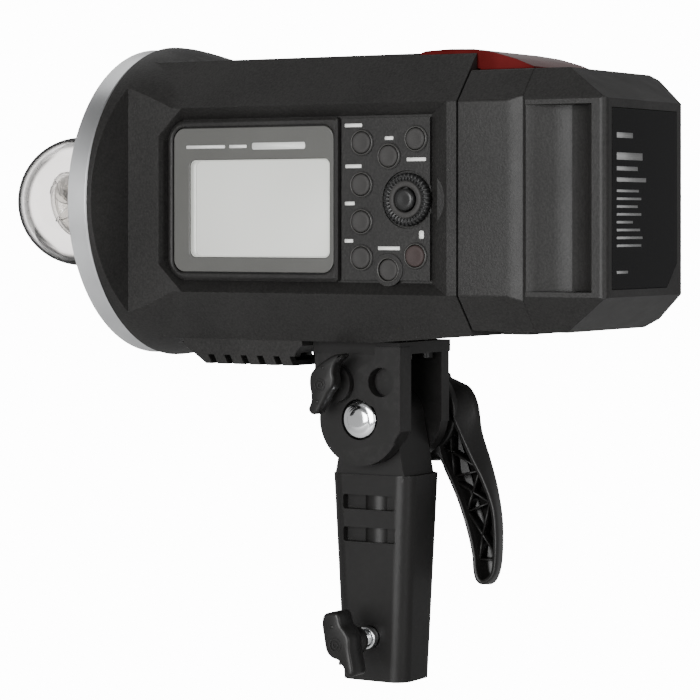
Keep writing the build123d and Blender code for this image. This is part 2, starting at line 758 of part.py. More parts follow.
with BuildPart() as latch_hook:
    # tongue through the slot in the casing's rear wall, with a barb behind it
    with BuildSketch(Plane.YZ.offset(-5.4)):
        with BuildLine():
            Polyline(
                (yy(SEAM_L + 2.2), zz(-47.0)), (yy(SEAM_L - 5.6), zz(-47.0)), (yy(SEAM_L - 5.6), zz(-48.6)),
                (yy(SEAM_L - 4.6), zz(-49.6)), (yy(SEAM_L - 3.3), zz(-49.6)), (yy(SEAM_L - 3.3), zz(-48.2)),
                (yy(SEAM_L + 2.2), zz(-48.2)), close=True,
            )
        make_face()
    extrude(amount=10.8)

with BuildPart() as latch_spring:
    with BuildSketch(Plane.XY.offset(zz(-46.4))):
        with Locations((-7, yy(SEAM_L + 8.2)), (7, yy(SEAM_L + 8.2))):
            Circle(1.3)
    extrude(amount=6.2)

# ------------------------------------------------------------- head bracket
CHEEK_IN = 13.5
CHEEK_OUT = 20.0
FAR_IN = -11.5
FAR_OUT = -17.5

with BuildPart() as head_bracket:
    # top plate below the casing
    with BuildSketch(Plane.XY.offset(zz(-58.8))):
        with BuildLine():
            Polyline((FAR_OUT, yy(88.0)), (CHEEK_OUT, yy(88.0)), (CHEEK_OUT + 1.5, yy(127.6)), (FAR_OUT, yy(127.6)), close=True)
        make_face()
    extrude(amount=58.8 + BOT_Z)
    # near cheek: ear round the tilt axis, and the upright
    with BuildSketch(side(CHEEK_IN)):
        with Locations((0, PIVOT_Z)):
            Circle(17.8)
        with BuildLine():
            Polyline((yy(128.0), zz(-56)), (yy(128.0), zz(-88.0)), (yy(124.6), zz(-93.0)), (0, PIVOT_Z), (-17.0, PIVOT_Z + 4),
                     (-17.0, zz(-56)), close=True)
        make_face()
    extrude(amount=CHEEK_OUT - CHEEK_IN)
    # raised six-sided plate and the rear strip
    with BuildSketch(side(CHEEK_OUT)):
        with BuildLine():
            Polyline((yy(117.0), zz(-56.0)), (yy(128.0), zz(-56.0)), (yy(128.0), zz(-88.0)), (yy(125.0), zz(-92.4)),
                     (yy(123.4), zz(-91.0)), (yy(123.4), zz(-80.6)), (yy(110.6), zz(-77.4)), (yy(109.4), zz(-75.6)), (yy(109.4), zz(-65.2)),
                     (yy(110.8), zz(-63.4)), (yy(116.2), zz(-61.0)), (yy(117.0), zz(-59.8)), close=True)
        make_face()
    extrude(amount=2.0)
    # far cheek
    with BuildSketch(side(FAR_OUT)):
        with Locations((0, PIVOT_Z)):
            Circle(17.8)
        with BuildLine():
            Polyline((yy(127.0), zz(-56)), (yy(127.0), zz(-86.0)), (0, PIVOT_Z), (-17.0, PIVOT_Z + 4), (-17.0, zz(-56)), close=True)
        make_face()
    extrude(amount=FAR_IN - FAR_OUT)
    # block of the umbrella hole
    with BuildSketch(Plane.YZ.offset(FAR_OUT)):
        with BuildLine():
            Polyline((yy(88.0), zz(-56)), (yy(88.0), zz(-73.0)), (yy(91.0), zz(-77.0)), (yy(95.6), zz(-79.0)),
                     (yy(103.0), zz(-76.5)), (yy(103.0), zz(-56)), close=True)
        make_face()
    extrude(amount=CHEEK_OUT - FAR_OUT - 1.2)
    # boss of the umbrella screw
    with BuildSketch(side(CHEEK_OUT - 2)):
        with Locations((yy(99.2), UMBRELLA_Z)):
            Circle(7.2)
    extrude(amount=5.0)
    with BuildSketch(side(6)):
        with Locations((yy(99.2), UMBRELLA_Z)):
            Circle(7.2)
    extrude(amount=12.5)
    # room for the rounded top of the tongue
    with BuildSketch(side(FAR_IN)):
        with Locations((0, PIVOT_Z)):
            Circle(11.5)
    extrude(amount=CHEEK_IN - FAR_IN, mode=Mode.SUBTRACT)
    # the umbrella hole runs from front to rear
    with BuildSketch(across(yy(80.0))):
        with Locations((1.5, UMBRELLA_Z + 1.9)):
            Circle(UMBRELLA_R)
    extrude(amount=-26.0, mode=Mode.SUBTRACT)
    # hole of the umbrella screw
    with BuildSketch(side(2.0)):
        with Locations((yy(99.2), UMBRELLA_Z)):
            Circle(2.55)
    extrude(amount=30.0, mode=Mode.SUBTRACT)
    # hole of the tilt bolt and the seat of its head
    with BuildSketch(side(-20)):
        with Locations((0, PIVOT_Z)):
            Circle(4.05)
    extrude(amount=45.0, mode=Mode.SUBTRACT)
    with BuildSketch(side(CHEEK_OUT - 3.4)):
        with Locations((0.0, PIVOT_Z)):
            Circle(7.9)
    extrude(amount=8.0, mode=Mode.SUBTRACT)
    # blind round socket in the near cheek
    with BuildSketch(side(CHEEK_OUT - 3.0)):
        with Locations((yy(119.6), zz(-69.4))):
            Circle(5.6)
    extrude(amount=8.0, mode=Mode.SUBTRACT)
    # screw holes
    with BuildSketch(Plane.XY.offset(zz(-60))):
        with Locations(*BRACKET_SCREWS):
            Circle(1.6)
    extrude(amount=12, mode=Mode.SUBTRACT)

with BuildPart() as bracket_screws:
    with BuildSketch(Plane.XY.offset(zz(-61.0))):
        with Locations(*BRACKET_SCREWS):
            Circle(2.8)
    extrude(amount=2.2)
    with BuildSketch(Plane.XY.offset(zz(-59.0))):
        with Locations(*BRACKET_SCREWS):
            Circle(1.5)
    extrude(amount=10.6)


# a wing knob: a waist with two opposed lobes, turned by an angle
def wing(x0, thick, cy, cz, length, width, angle):
    with BuildPart() as k:
        with BuildSketch(side(x0)):
            with Locations(Location((cy, cz, 0), (0, 0, angle))):
                Ellipse(length * 0.29, width * 0.52)
                with Locations(Location((length * 0.27, width * 0.10, 0), (0, 0, 14))):
                    SlotOverall(length * 0.46, width * 0.50)
                with Locations(Location((-length * 0.27, -width * 0.10, 0), (0, 0, 14))):
                    SlotOverall(length * 0.46, width * 0.50)
        extrude(amount=thick)
        fillet(k.faces().sort_by(Axis.X)[-1].edges(), 0.9)
        with BuildSketch(side(x0 + 0.01)):
            with Locations((cy, cz)):
                Circle(width * 0.40)
        extrude(amount=-3.4)
        with BuildSketch(side(x0 + thick)):
            with Locations((cy, cz)):
                Circle(width * 0.26)
                Circle(width * 0.16, mode=Mode.SUBTRACT)
        extrude(amount=-0.5, mode=Mode.SUBTRACT)
    return k


UK_Y = yy(99.2)
with BuildPart() as umbrella_knob:
    add(wing(27.2, 6.4, UK_Y, UMBRELLA_Z, 27.0, 11.5, 62).part)
    with BuildSketch(side(20)):
        with Locations((UK_Y, UMBRELLA_Z)):
            Circle(2.5)
    extrude(amount=11.0, mode=Mode.SUBTRACT)

with BuildPart() as umbrella_screw:
    with BuildSketch(side(5.6)):
        with Locations((UK_Y, UMBRELLA_Z)):
            Circle(2.5)
    extrude(amount=25.4)

with BuildPart() as tilt_bolt:
    with BuildSketch(side(CHEEK_OUT - 3.2)):
        with Locations((0, PIVOT_Z)):
            Circle(7.3)
    extrude(amount=4.8)
    fillet(tilt_bolt.faces().sort_by(Axis.X)[-1].edges(), 1.8)
    with BuildSketch(side(-33.0)):
        with Locations((0, PIVOT_Z)):
            Circle(4.0)
    extrude(amount=33.0 + CHEEK_OUT - 3.2)

with BuildPart() as friction_washers:
    with BuildSketch(side(12.7)):
        with Locations((0, PIVOT_Z)):
            Circle(10.0)
            Circle(4.3, mode=Mode.SUBTRACT)
    extrude(amount=0.8)
    with BuildSketch(side(FAR_IN)):
        with Locations((0, PIVOT_Z)):
            Circle(10.0)
            Circle(4.3, mode=Mode.SUBTRACT)
    extrude(amount=0.8)

# ------------------------------------------------------------- lock lever
LEVER_X0, LEVER_X1 = -35.5, -25.0
HUB_Y, HUB_Z = 0.0, PIVOT_Z
RIM = [(8.0, 114.6), (14.0, 113.0), (18.6, 110.8), (21.0, 107.4), (21.9, 102.4), (23.3, 94.0), (26.8, 84.0), (30.4, 74.0),
       (33.6, 62.5), (34.9, 51.5), (34.7, 43.5), (33.0, 38.0), (29.8, 34.8), (26.8, 34.6), (24.9, 37.5), (24.0, 43.0),
       (22.4, 50.5), (19.6, 59.0), (15.6, 68.8), (10.8, 78.0), (6.0, 85.6)]

with BuildPart() as lock_lever:
    with BuildSketch(side(LEVER_X0)):
        with Locations((0, PIVOT_Z)):
            Circle(16.6)
        with BuildLine():
            Spline(*RIM)
            Line(RIM[-1], RIM[0])
        make_face()
    extrude(amount=LEVER_X1 - LEVER_X0)
    # open web on the bracket side
    with BuildSketch(side(LEVER_X0 + 2.2)):
        with BuildLine():
            Polyline((13.4, 106.0), (16.8, 103.6), (19.8, 98.5), (21.6, 93.0), (25.2, 83.4), (28.8, 73.2), (31.9, 62.0),
                     (33.2, 51.5), (33.0, 43.8), (31.6, 39.4), (29.4, 36.8), (27.5, 37.0), (26.6, 39.0), (25.6, 43.6),
                     (24.1, 51.0), (21.3, 59.8), (17.3, 69.8), (12.6, 79.2), (10.6, 83.4), (11.8, 91.0), (12.8, 98.0), close=True)
        make_face()
    extrude(amount=12, mode=Mode.SUBTRACT)
    # ribs of the web
    with BuildSketch(side(LEVER_X0 + 2.0)):
        for (a, b) in (((15.2, 104.0), (14.6, 85.8)), ((10.8, 86.8), (14.6, 85.8)), ((14.6, 85.8), (26.2, 80.8)),
                       ((14.6, 85.8), (14.6, 76.2)), ((14.6, 76.2), (26.4, 80.0)), ((26.4, 80.0), (23.1, 71.2)),
                       ((23.1, 71.2), (20.4, 62.4)), ((15.4, 73.2), (30.6, 66.8)), ((30.6, 66.8), (20.8, 62.6)),
                       ((30.6, 66.8), (27.1, 53.0)), ((27.1, 53.0), (25.4, 44.0)), ((20.8, 62.6), (33.0, 46.0)),
                       ((25.4, 44.6), (33.2, 44.6))):
            va, vb = Vector(*a), Vector(*b)
            n = Vector(-(vb - va).Y, (vb - va).X).normalized() * 0.5
            with BuildLine():
                Polyline(va + n, vb + n, vb - n, va - n, close=True)
            make_face()
    extrude(amount=5.5)
    # bore on the bolt's nut
    with BuildSketch(side(-40)):
        with Locations((0, PIVOT_Z)):
            RegularPolygon(7.55, 6)
    extrude(amount=20, mode=Mode.SUBTRACT)

with BuildPart() as lever_nut:
    with BuildSketch(side(-34.6)):
        with Locations((0, PIVOT_Z)):
            RegularPolygon(7.5, 6)
    extrude(amount=14.2)
    with BuildSketch(side(-20.4)):
        with Locations((0, PIVOT_Z)):
            Circle(8.4)
    extrude(amount=2.4)
    with BuildSketch(side(-35)):
        with Locations((0, PIVOT_Z)):
            Circle(4.05)
    extrude(amount=20, mode=Mode.SUBTRACT)

# ------------------------------------------------------------- stand bracket
COL_TOP = PIVOT_Z - 21.6
with BuildPart() as stand_bracket:
    with BuildSketch(Plane.XY.offset(0)):
        RectangleRounded(23.6, 29.0, 6.4)
    with BuildSketch(Plane.XY.offset(COL_TOP)):
        RectangleRounded(26.4, 36.6, 6.4)
    loft()
    # tongue between the cheeks
    with BuildSketch(side(-10.4)):
        with Locations((0, PIVOT_Z)):
            Circle(11.0)
        with BuildLine():
            Polyline((-11.0, PIVOT_Z), (11.0, PIVOT_Z), (15.6, COL_TOP - 1), (-15.6, COL_TOP - 1), close=True)
        make_face()
    extrude(amount=22.8)
    with BuildSketch(side(-20)):
        with Locations((0, PIVOT_Z)):
            Circle(4.08)
    extrude(amount=45.0, mode=Mode.SUBTRACT)
    # two slots on the near face
    with BuildSketch(side(9.6)):
        with Locations((0, 68.7), (0, 56.2)):
            RectangleRounded(23.0, 5.6, 0.8)
    extrude(amount=8, mode=Mode.SUBTRACT)
    # the round core seen in the slots
    with BuildSketch(Plane.XY.offset(52.6)):
        with Locations((4.6, 1.5)):
            Circle(7.0)
    extrude(amount=20.0)
    # stand socket
    with BuildSketch(Plane.XY):
        Circle(9.2)
    extrude(amount=SOCKET_L + 1.2, mode=Mode.SUBTRACT)
    # hole of the bushing
    with BuildSketch(side(0)):
        with Locations((0, 17.0)):
            Circle(4.4)
    extrude(amount=20, mode=Mode.SUBTRACT)

with BuildPart() as socket_liner:
    with BuildSketch(Plane.XY):
        Circle(9.15)
        Circle(SOCKET_R, mode=Mode.SUBTRACT)
    extrude(amount=SOCKET_L + 1.0)
    with BuildSketch(Plane.XY.offset(SOCKET_L)):
        Circle(9.15)
    extrude(amount=1.0)
    with BuildSketch(side(0)):
        with Locations((0, 17.0)):
            Circle(3.1)
    extrude(amount=20, mode=Mode.SUBTRACT)

with BuildPart() as stand_bushing:
    with BuildSketch(side(9.7)):
        with Locations((0, 17.0)):
            Circle(4.35)
            Circle(3.05, mode=Mode.SUBTRACT)
    extrude(amount=6.4)
    chamfer(stand_bushing.faces().sort_by(Axis.X)[-1].edges().sort_by(SortBy.LENGTH)[-1], 0.6)

SK_Z = 17.0
with BuildPart() as stand_knob:
    add(wing(28.0, 9.4, 0.0, SK_Z, 27.0, 12.5, 112).part)
    with BuildSketch(side(21.6)):
        with Locations((0, SK_Z)):
            Circle(5.4)
    extrude(amount=6.9)
    with BuildSketch(side(10)):
        with Locations((0, SK_Z)):
            Circle(3.0)
    extrude(amount=22.0, mode=Mode.SUBTRACT)

with BuildPart() as stand_screw:
    with BuildSketch(side(8.4)):
        with Locations((0, SK_Z)):
            Circle(3.0)
    extrude(amount=23.6)

# ------------------------------------------------------------- write
for piece, label in (
    (front_ring, "front_ring"), (bayonet_plate, "bayonet_plate"), (modifier_latch, "modifier_latch"),
    (reflector_dish, "reflector_dish"), (tube_socket, "tube_socket"), (flash_tube, "flash_tube"),
    (modelling_lamp, "modelling_lamp"), (glass_dome, "glass_dome"), (near_shell, "near_housing"),
    (far_housing, "far_housing"), (housing_screws, "housing_screws"), (display_frame, "display_frame"),
    (display_plate, "display_plate"), (lcd_window, "lcd_window"), (lcd_panel, "lcd_panel"),
    (control_plate, "control_plate"), (select_dial, "select_dial"), (dial_button, "dial_button"),
    (dial_encoder, "dial_encoder"), (button_board, "button_board"), (main_board, "main_board"),
    (flash_capacitors, "flash_capacitors"), (heat_sink, "heat_sink"), (cooling_fan, "cooling_fan"),
    (sensor_window, "sensor_window"), (slave_sensor, "slave_sensor"), (port_panel, "port_panel"),
    (port_cover, "port_cover"), (battery_case, "battery_case"), (battery_rear_cover, "battery_rear_cover"),
    (battery_label, "battery_label"), (battery_cells, "battery_cells"), (battery_contacts, "battery_contacts"),
    (head_contacts, "head_contacts"), (battery_latch, "battery_latch"), (latch_hook, "latch_hook"), (latch_spring, "latch_spring"),
    (head_bracket, "head_bracket"), (bracket_screws, "bracket_screws"), (umbrella_knob, "umbrella_knob"),
    (umbrella_screw, "umbrella_screw"), (tilt_bolt, "tilt_bolt"), (friction_washers, "friction_washers"),
    (lock_lever, "lock_lever"), (lever_nut, "lever_nut"), (stand_bracket, "stand_bracket"),
    (socket_liner, "socket_liner"), (stand_bushing, "stand_bushing"), (stand_knob, "stand_knob"),
    (stand_screw, "stand_screw"),
):
    save(piece.part, label)

for name, (u, v) in BUTTONS.items():
    save(make_button(u, v, 0.9 if name == "button_power" else 1.6), name)

print(len(written), "nodes")
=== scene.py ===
import json
import math

import bmesh
import bpy
from mathutils import Matrix, Vector


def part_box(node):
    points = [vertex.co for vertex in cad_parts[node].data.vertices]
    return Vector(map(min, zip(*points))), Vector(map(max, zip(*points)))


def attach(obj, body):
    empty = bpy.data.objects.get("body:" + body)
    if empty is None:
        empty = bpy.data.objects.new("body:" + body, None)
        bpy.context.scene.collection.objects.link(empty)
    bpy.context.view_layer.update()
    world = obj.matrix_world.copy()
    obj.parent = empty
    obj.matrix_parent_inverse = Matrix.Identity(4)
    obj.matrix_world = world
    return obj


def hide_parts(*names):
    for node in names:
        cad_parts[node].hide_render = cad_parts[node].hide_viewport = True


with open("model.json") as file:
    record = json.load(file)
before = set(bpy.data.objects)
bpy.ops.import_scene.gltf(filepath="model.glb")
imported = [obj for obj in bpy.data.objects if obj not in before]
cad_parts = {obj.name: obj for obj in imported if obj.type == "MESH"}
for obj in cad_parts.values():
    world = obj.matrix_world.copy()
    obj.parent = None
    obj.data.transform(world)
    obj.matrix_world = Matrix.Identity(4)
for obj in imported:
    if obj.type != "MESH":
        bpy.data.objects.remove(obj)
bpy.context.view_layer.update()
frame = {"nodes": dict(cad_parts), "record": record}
nodes = frame["nodes"]

FY, AZ = -0.1088, 0.185  # front of the ring and height of the optical axis
PIVOT = 0.101
MM = 0.001


def yy(v):
    return v * MM + FY


def zz(v):
    return v * MM + AZ


# ------------------------------------------------------------------ camera
cam_data = bpy.data.cameras.new("camera")
cam = bpy.data.objects.new("camera", cam_data)
bpy.context.scene.collection.objects.link(cam)
cam.location = (0.9360, 0.5581, 0.1765)
cam.rotation_euler = (math.radians(90), 0, math.radians(121.54))
cam_data.lens = 144.44
cam_data.sensor_width = 36
cam_data.shift_x = 0.0
cam_data.shift_y = -0.183
cam_data.clip_end = 50
bpy.context.scene.camera = cam


# ------------------------------------------------------------------ materials
def rgba(c, a=1.0):
    return (c[0], c[1], c[2], a)


class Mat:
    def __init__(self, name):
        self.m = bpy.data.materials.new(name)
        self.m.use_nodes = True
        self.nt = self.m.node_tree
        self.nt.nodes.clear()
        self.out = self.nt.nodes.new("ShaderNodeOutputMaterial")
        self.b = self.nt.nodes.new("ShaderNodeBsdfPrincipled")
        self.nt.links.new(self.b.outputs[0], self.out.inputs[0])
        self.tc = self.nt.nodes.new("ShaderNodeTexCoord")

    def n(self, kind, **kw):
        node = self.nt.nodes.new(kind)
        for k, v in kw.items():
            setattr(node, k, v)
        return node

    def link(self, a, b):
        self.nt.links.new(a, b)

    def noise(self, scale, detail=2.0, rough=0.5, stretch=None):
        t = self.n("ShaderNodeTexNoise")
        t.inputs["Scale"].default_value = scale
        t.inputs["Detail"].default_value = detail
        t.inputs["Roughness"].default_value = rough
        if stretch:
            mp = self.n("ShaderNodeMapping")
            mp.inputs["Scale"].default_value = stretch
            self.link(self.tc.outputs["Object"], mp.inputs["Vector"])
            self.link(mp.outputs[0], t.inputs["Vector"])
        else:
            self.link(self.tc.outputs["Object"], t.inputs["Vector"])
        return t.outputs["Fac"]

    def ramp(self, src, stops):
        r = self.n("ShaderNodeValToRGB")
        e = r.color_ramp.elements
        while len(e) < len(stops):
            e.new(0.5)
        for el, (p, c) in zip(e, stops):
            el.position = p
            el.color = c if len(c) == 4 else rgba(c)
        self.link(src, r.inputs["Fac"])
        return r.outputs["Color"]

    def to_range(self, src, lo, hi, a=0.0, b=1.0):
        r = self.n("ShaderNodeMapRange")
        r.inputs["From Min"].default_value = a
        r.inputs["From Max"].default_value = b
        r.inputs["To Min"].default_value = lo
        r.inputs["To Max"].default_value = hi
        self.link(src, r.inputs["Value"])
        return r.outputs["Result"]

    def bump(self, src, strength, distance, under=None):
        bp = self.n("ShaderNodeBump")
        bp.inputs["Strength"].default_value = strength
        bp.inputs["Distance"].default_value = distance
        self.link(src, bp.inputs["Height"])
        if under is not None:
            self.link(under, bp.inputs["Normal"])
        return bp.outputs["Normal"]

    def mix(self, fac, a, b, blend="MIX"):
        mx = self.n("ShaderNodeMix", data_type="RGBA", blend_type=blend)
        if isinstance(fac, float):
            mx.inputs[0].default_value = fac
        else:
            self.link(fac, mx.inputs[0])
        for sock, v in ((mx.inputs[6], a), (mx.inputs[7], b)):
            if isinstance(v, tuple):
                sock.default_value = v if len(v) == 4 else rgba(v)
            else:
                self.link(v, sock)
        return mx.outputs[2]


def moulded(name, color, rough=0.55, grain=1500.0, depth=0.00003, strength=0.6, spec=0.35, vary=0.18, wear=0.0, coat=0.0):
    """Moulded plastic or painted casting: fine grain, slow colour drift, a little wear on the edges."""
    M = Mat(name)
    fine = M.noise(grain, 3.0, 0.6)
    slow = M.noise(28.0, 2.0)
    dark = tuple(c * (1 - vary) for c in color)
    light = tuple(c * (1 + vary) for c in color)
    base = M.ramp(slow, [(0.3, dark), (0.7, light)])
    fleck = M.ramp(fine, [(0.35, tuple(c * (1 - vary * 1.4) for c in color)), (0.65, tuple(c * (1 + vary * 1.8) for c in color))])
    col = M.mix(0.5, base, fleck)
    if wear:
        g = M.n("ShaderNodeNewGeometry")
        edge = M.to_range(g.outputs["Pointiness"], 0.0, wear, 0.52, 0.60)
        patch = M.noise(420.0, 4.0, 0.7)
        pm = M.to_range(patch, 0.0, 1.0, 0.45, 0.62)
        mul = M.n("ShaderNodeMath", operation="MULTIPLY")
        M.link(edge, mul.inputs[0])
        M.link(pm, mul.inputs[1])
        col = M.mix(mul.outputs[0], col, tuple(min(1.0, c * 3.2 + 0.02) for c in color))
    M.link(col, M.b.inputs["Base Color"])
    M.link(M.to_range(M.noise(90.0, 3.0), rough - 0.06, rough + 0.07), M.b.inputs["Roughness"])
    M.b.inputs["Specular IOR Level"].default_value = spec
    if coat:
        M.b.inputs["Coat Weight"].default_value = coat
        M.b.inputs["Coat Roughness"].default_value = 0.12
    M.link(M.bump(fine, strength, depth), M.b.inputs["Normal"])
    return M.m


def metal(name, color, rough=0.28, stretch=(1, 1, 1), scale=900.0, depth=0.000008, aniso=0.0):
    M = Mat(name)
    grain = M.noise(scale, 4.0, 0.65, stretch)
    slow = M.noise(35.0, 2.0)
    c0 = tuple(c * 0.92 for c in color)
    c1 = tuple(min(1.0, c * 1.05) for c in color)
    M.link(M.ramp(slow, [(0.3, c0), (0.7, c1)]), M.b.inputs["Base Color"])
    M.b.inputs["Metallic"].default_value = 1.0
    M.link(M.to_range(grain, rough - 0.07, rough + 0.08), M.b.inputs["Roughness"])
    if aniso:
        M.b.inputs["Anisotropic"].default_value = aniso
    M.link(M.bump(grain, 0.35, depth), M.b.inputs["Normal"])
    return M.m


def clear_glass(name, color=(1, 1, 1), rough=0.01, ior=1.46, smudge=0.02):
    M = Mat(name)
    M.link(M.ramp(M.noise(40.0), [(0.3, tuple(c * 0.985 for c in color)), (0.7, color)]), M.b.inputs["Base Color"])
    M.b.inputs["Transmission Weight"].default_value = 1.0
    M.b.inputs["IOR"].default_value = ior
    M.link(M.to_range(M.noise(55.0, 3.0), rough, rough + smudge, 0.45, 0.75), M.b.inputs["Roughness"])
    return M.m


def glass_with_painted_rim_shade(mat, color, rim_shade_color, start=0.25, stop=0.92):
    """Clear glass with painted shade in its colour: the grazing rims are darkened, standing in for how thick glass
    reads dark against a white room.
    """
    nt = mat.node_tree
    b = next(n for n in nt.nodes if n.type == "BSDF_PRINCIPLED")
    lw = nt.nodes.new("ShaderNodeLayerWeight")
    lw.inputs["Blend"].default_value = 0.35
    r = nt.nodes.new("ShaderNodeValToRGB")
    r.color_ramp.elements[0].position = start
    r.color_ramp.elements[0].color = rgba(color)
    r.color_ramp.elements[1].position = stop
    r.color_ramp.elements[1].color = rgba(rim_shade_color)
    nt.links.new(lw.outputs["Facing"], r.inputs["Fac"])
    for l in list(b.inputs["Base Color"].links):
        nt.links.remove(l)
    nt.links.new(r.outputs["Color"], b.inputs["Base Color"])


MATS = {}
MATS["casing_plastic"] = moulded("casing_plastic", (0.0118, 0.0114, 0.0110), 0.46, 1150.0, 0.00011, 0.9, 0.22, 0.34, 0.12)
MATS["bracket_metal"] = moulded("bracket_metal", (0.0066, 0.0063, 0.0061), 0.42, 2600.0, 0.00002, 0.5, 0.22, 0.10, 0.1)
MATS["knob_plastic"] = moulded("knob_plastic", (0.0072, 0.0069, 0.0067), 0.38, 1900.0, 0.00002, 0.5, 0.26, 0.12, 0.1)
MATS["dial_plastic"] = moulded("dial_plastic", (0.011, 0.011, 0.011), 0.34, 2600.0, 0.00001, 0.4, 0.26, 0.08, 0.2)
MATS["button_rubber"] = moulded("button_rubber", (0.026, 0.0250, 0.0243), 0.58, 2300.0, 0.00002, 0.4, 0.2, 0.06)
MATS["button_pink"] = moulded("button_pink", (0.030, 0.021, 0.020), 0.56, 2300.0, 0.00002, 0.4, 0.2, 0.06)
MATS["ring_aluminium"] = metal("ring_aluminium", (0.80, 0.81, 0.82), 0.34, (1, 14, 1), 500.0, 0.000012, 0.3)
MATS["steel"] = metal("steel", (0.62, 0.62, 0.61), 0.3, (1, 1, 8), 700.0)
MATS["black_steel"] = metal("black_steel", (0.028, 0.028, 0.028), 0.40)
MATS["chrome"] = metal("chrome", (0.86, 0.87, 0.88), 0.13, (1, 1, 1), 300.0, 0.000004)
MATS["quartz"] = clear_glass("quartz", (0.99, 0.98, 0.965), 0.0, 1.46, 0.04)
# painted shade on the quartz coil: its colour is darkened face-on and painted near black at the grazing rims
glass_with_painted_rim_shade(MATS["quartz"], (0.66, 0.65, 0.63), (0.02, 0.02, 0.018), 0.12, 0.60)
# dome glass with painted shade: near-black colour and a dark diffuse mix at its grazing rims and across the front tip
# stand in for the dark reflections on the thick dome
M = Mat("dome_glass")
M.b.inputs["Transmission Weight"].default_value = 1.0
M.b.inputs["IOR"].default_value = 1.45
M.link(M.to_range(M.noise(55.0, 3.0), 0.0, 0.012, 0.45, 0.75), M.b.inputs["Roughness"])
lw = M.n("ShaderNodeLayerWeight")
lw.inputs["Blend"].default_value = 0.5
facing = lw.outputs["Facing"]
xyz = M.n("ShaderNodeSeparateXYZ")
M.link(M.tc.outputs["Object"], xyz.inputs[0])
tip = M.to_range(xyz.outputs["Y"], 1.0, 0.0, -0.1640, -0.1585)
wide = M.to_range(facing, 0.0, 1.0, 0.50, 0.62)
both = M.n("ShaderNodeMath", operation="MULTIPLY")
M.link(tip, both.inputs[0])
M.link(wide, both.inputs[1])
thin = M.to_range(facing, 0.0, 1.0, 0.56, 0.74)
dome_painted_rim_shade = M.n("ShaderNodeMath", operation="MAXIMUM")
M.link(both.outputs[0], dome_painted_rim_shade.inputs[0])
M.link(thin, dome_painted_rim_shade.inputs[1])
M.link(M.mix(dome_painted_rim_shade.outputs[0], (0.965, 0.95, 0.94), (0.05, 0.05, 0.05)), M.b.inputs["Base Color"])
dark = M.n("ShaderNodeBsdfDiffuse")
dark.inputs["Color"].default_value = (0.012, 0.012, 0.012, 1)
blend = M.n("ShaderNodeMixShader")
M.link(M.to_range(dome_painted_rim_shade.outputs[0], 0.0, 0.9), blend.inputs[0])
M.link(M.b.outputs[0], blend.inputs[1])
M.link(dark.outputs[0], blend.inputs[2])
M.link(blend.outputs[0], M.out.inputs["Surface"])
MATS["dome_glass"] = M.m
MATS["white_reflector"] = moulded("white_reflector", (0.80, 0.79, 0.77), 0.35, 1600.0, 0.00002, 0.4, 0.5, 0.03)
MATS["ceramic"] = moulded("ceramic", (0.78, 0.76, 0.71), 0.6, 1200.0, 0.00003, 0.5, 0.4, 0.04)
MATS["lamp_white"] = moulded("lamp_white", (0.82, 0.74, 0.38), 0.45, 1400.0, 0.00002, 0.4, 0.4, 0.05)
MATS["display_grey"] = moulded("display_grey", (0.062, 0.062, 0.058), 0.34, 2600.0, 0.000006, 0.3, 0.5, 0.04)
MATS["lcd_panel"] = moulded("lcd_panel", (0.42, 0.44, 0.40), 0.4, 2400.0, 0.000006, 0.3, 0.4, 0.03)
MATS["label_black"] = moulded("label_black", (0.0014, 0.0014, 0.0017), 0.22, 900.0, 0.000002, 0.3, 0.06, 0.1)
MATS["circuit_board"] = moulded("circuit_board", (0.02, 0.14, 0.055), 0.4, 700.0, 0.00002, 0.4, 0.5, 0.2)
MATS["capacitor_wrap"] = moulded("capacitor_wrap", (0.02, 0.02, 0.035), 0.35, 500.0, 0.00002)
MATS["cell_wrap"] = moulded("cell_wrap", (0.03, 0.16, 0.4), 0.35, 500.0, 0.00002)
MATS["contact_brass"] = metal("contact_brass", (0.85, 0.66, 0.32), 0.25)
MATS["inner_plastic"] = moulded("inner_plastic", (0.02, 0.02, 0.02), 0.5, 1500.0, 0.00003)

# the display's clear cover over a pale reflective screen
M = Mat("lcd_window")
M.link(M.ramp(M.noise(18.0, 1.0), [(0.35, (0.56, 0.57, 0.535)), (0.65, (0.61, 0.62, 0.585))]), M.b.inputs["Base Color"])
M.link(M.to_range(M.noise(70.0, 3.0), 0.30, 0.36), M.b.inputs["Roughness"])
M.b.inputs["Specular IOR Level"].default_value = 0.15
MATS["lcd_window"] = M.m

# red acrylic
M = Mat("red_window")
M.link(M.ramp(M.noise(60.0, 2.0), [(0.3, (0.052, 0.0050, 0.0050)), (0.7, (0.085, 0.010, 0.010))]), M.b.inputs["Base Color"])
M.link(M.to_range(M.noise(70.0, 3.0), 0.12, 0.2), M.b.inputs["Roughness"])
M.b.inputs["Specular IOR Level"].default_value = 0.1
M.b.inputs["IOR"].default_value = 1.1
MATS["red_window"] = M.m

# a lighter copy of the casing plastic as painted highlight on the button collars' lips; pale print on the panels
MATS["collar_lip_highlight"] = moulded("collar_lip_highlight", (0.040, 0.039, 0.037), 0.32, 1500.0, 0.00002, 0.4, 0.4, 0.1)
MATS["print_dim"] = moulded("print_dim", (0.20, 0.20, 0.20), 0.5, 2600.0, 0.000003, 0.2, 0.2, 0.03)
MATS["print_white"] = moulded("print_white", (0.62, 0.62, 0.60), 0.5, 2600.0, 0.000003, 0.2, 0.4, 0.03)


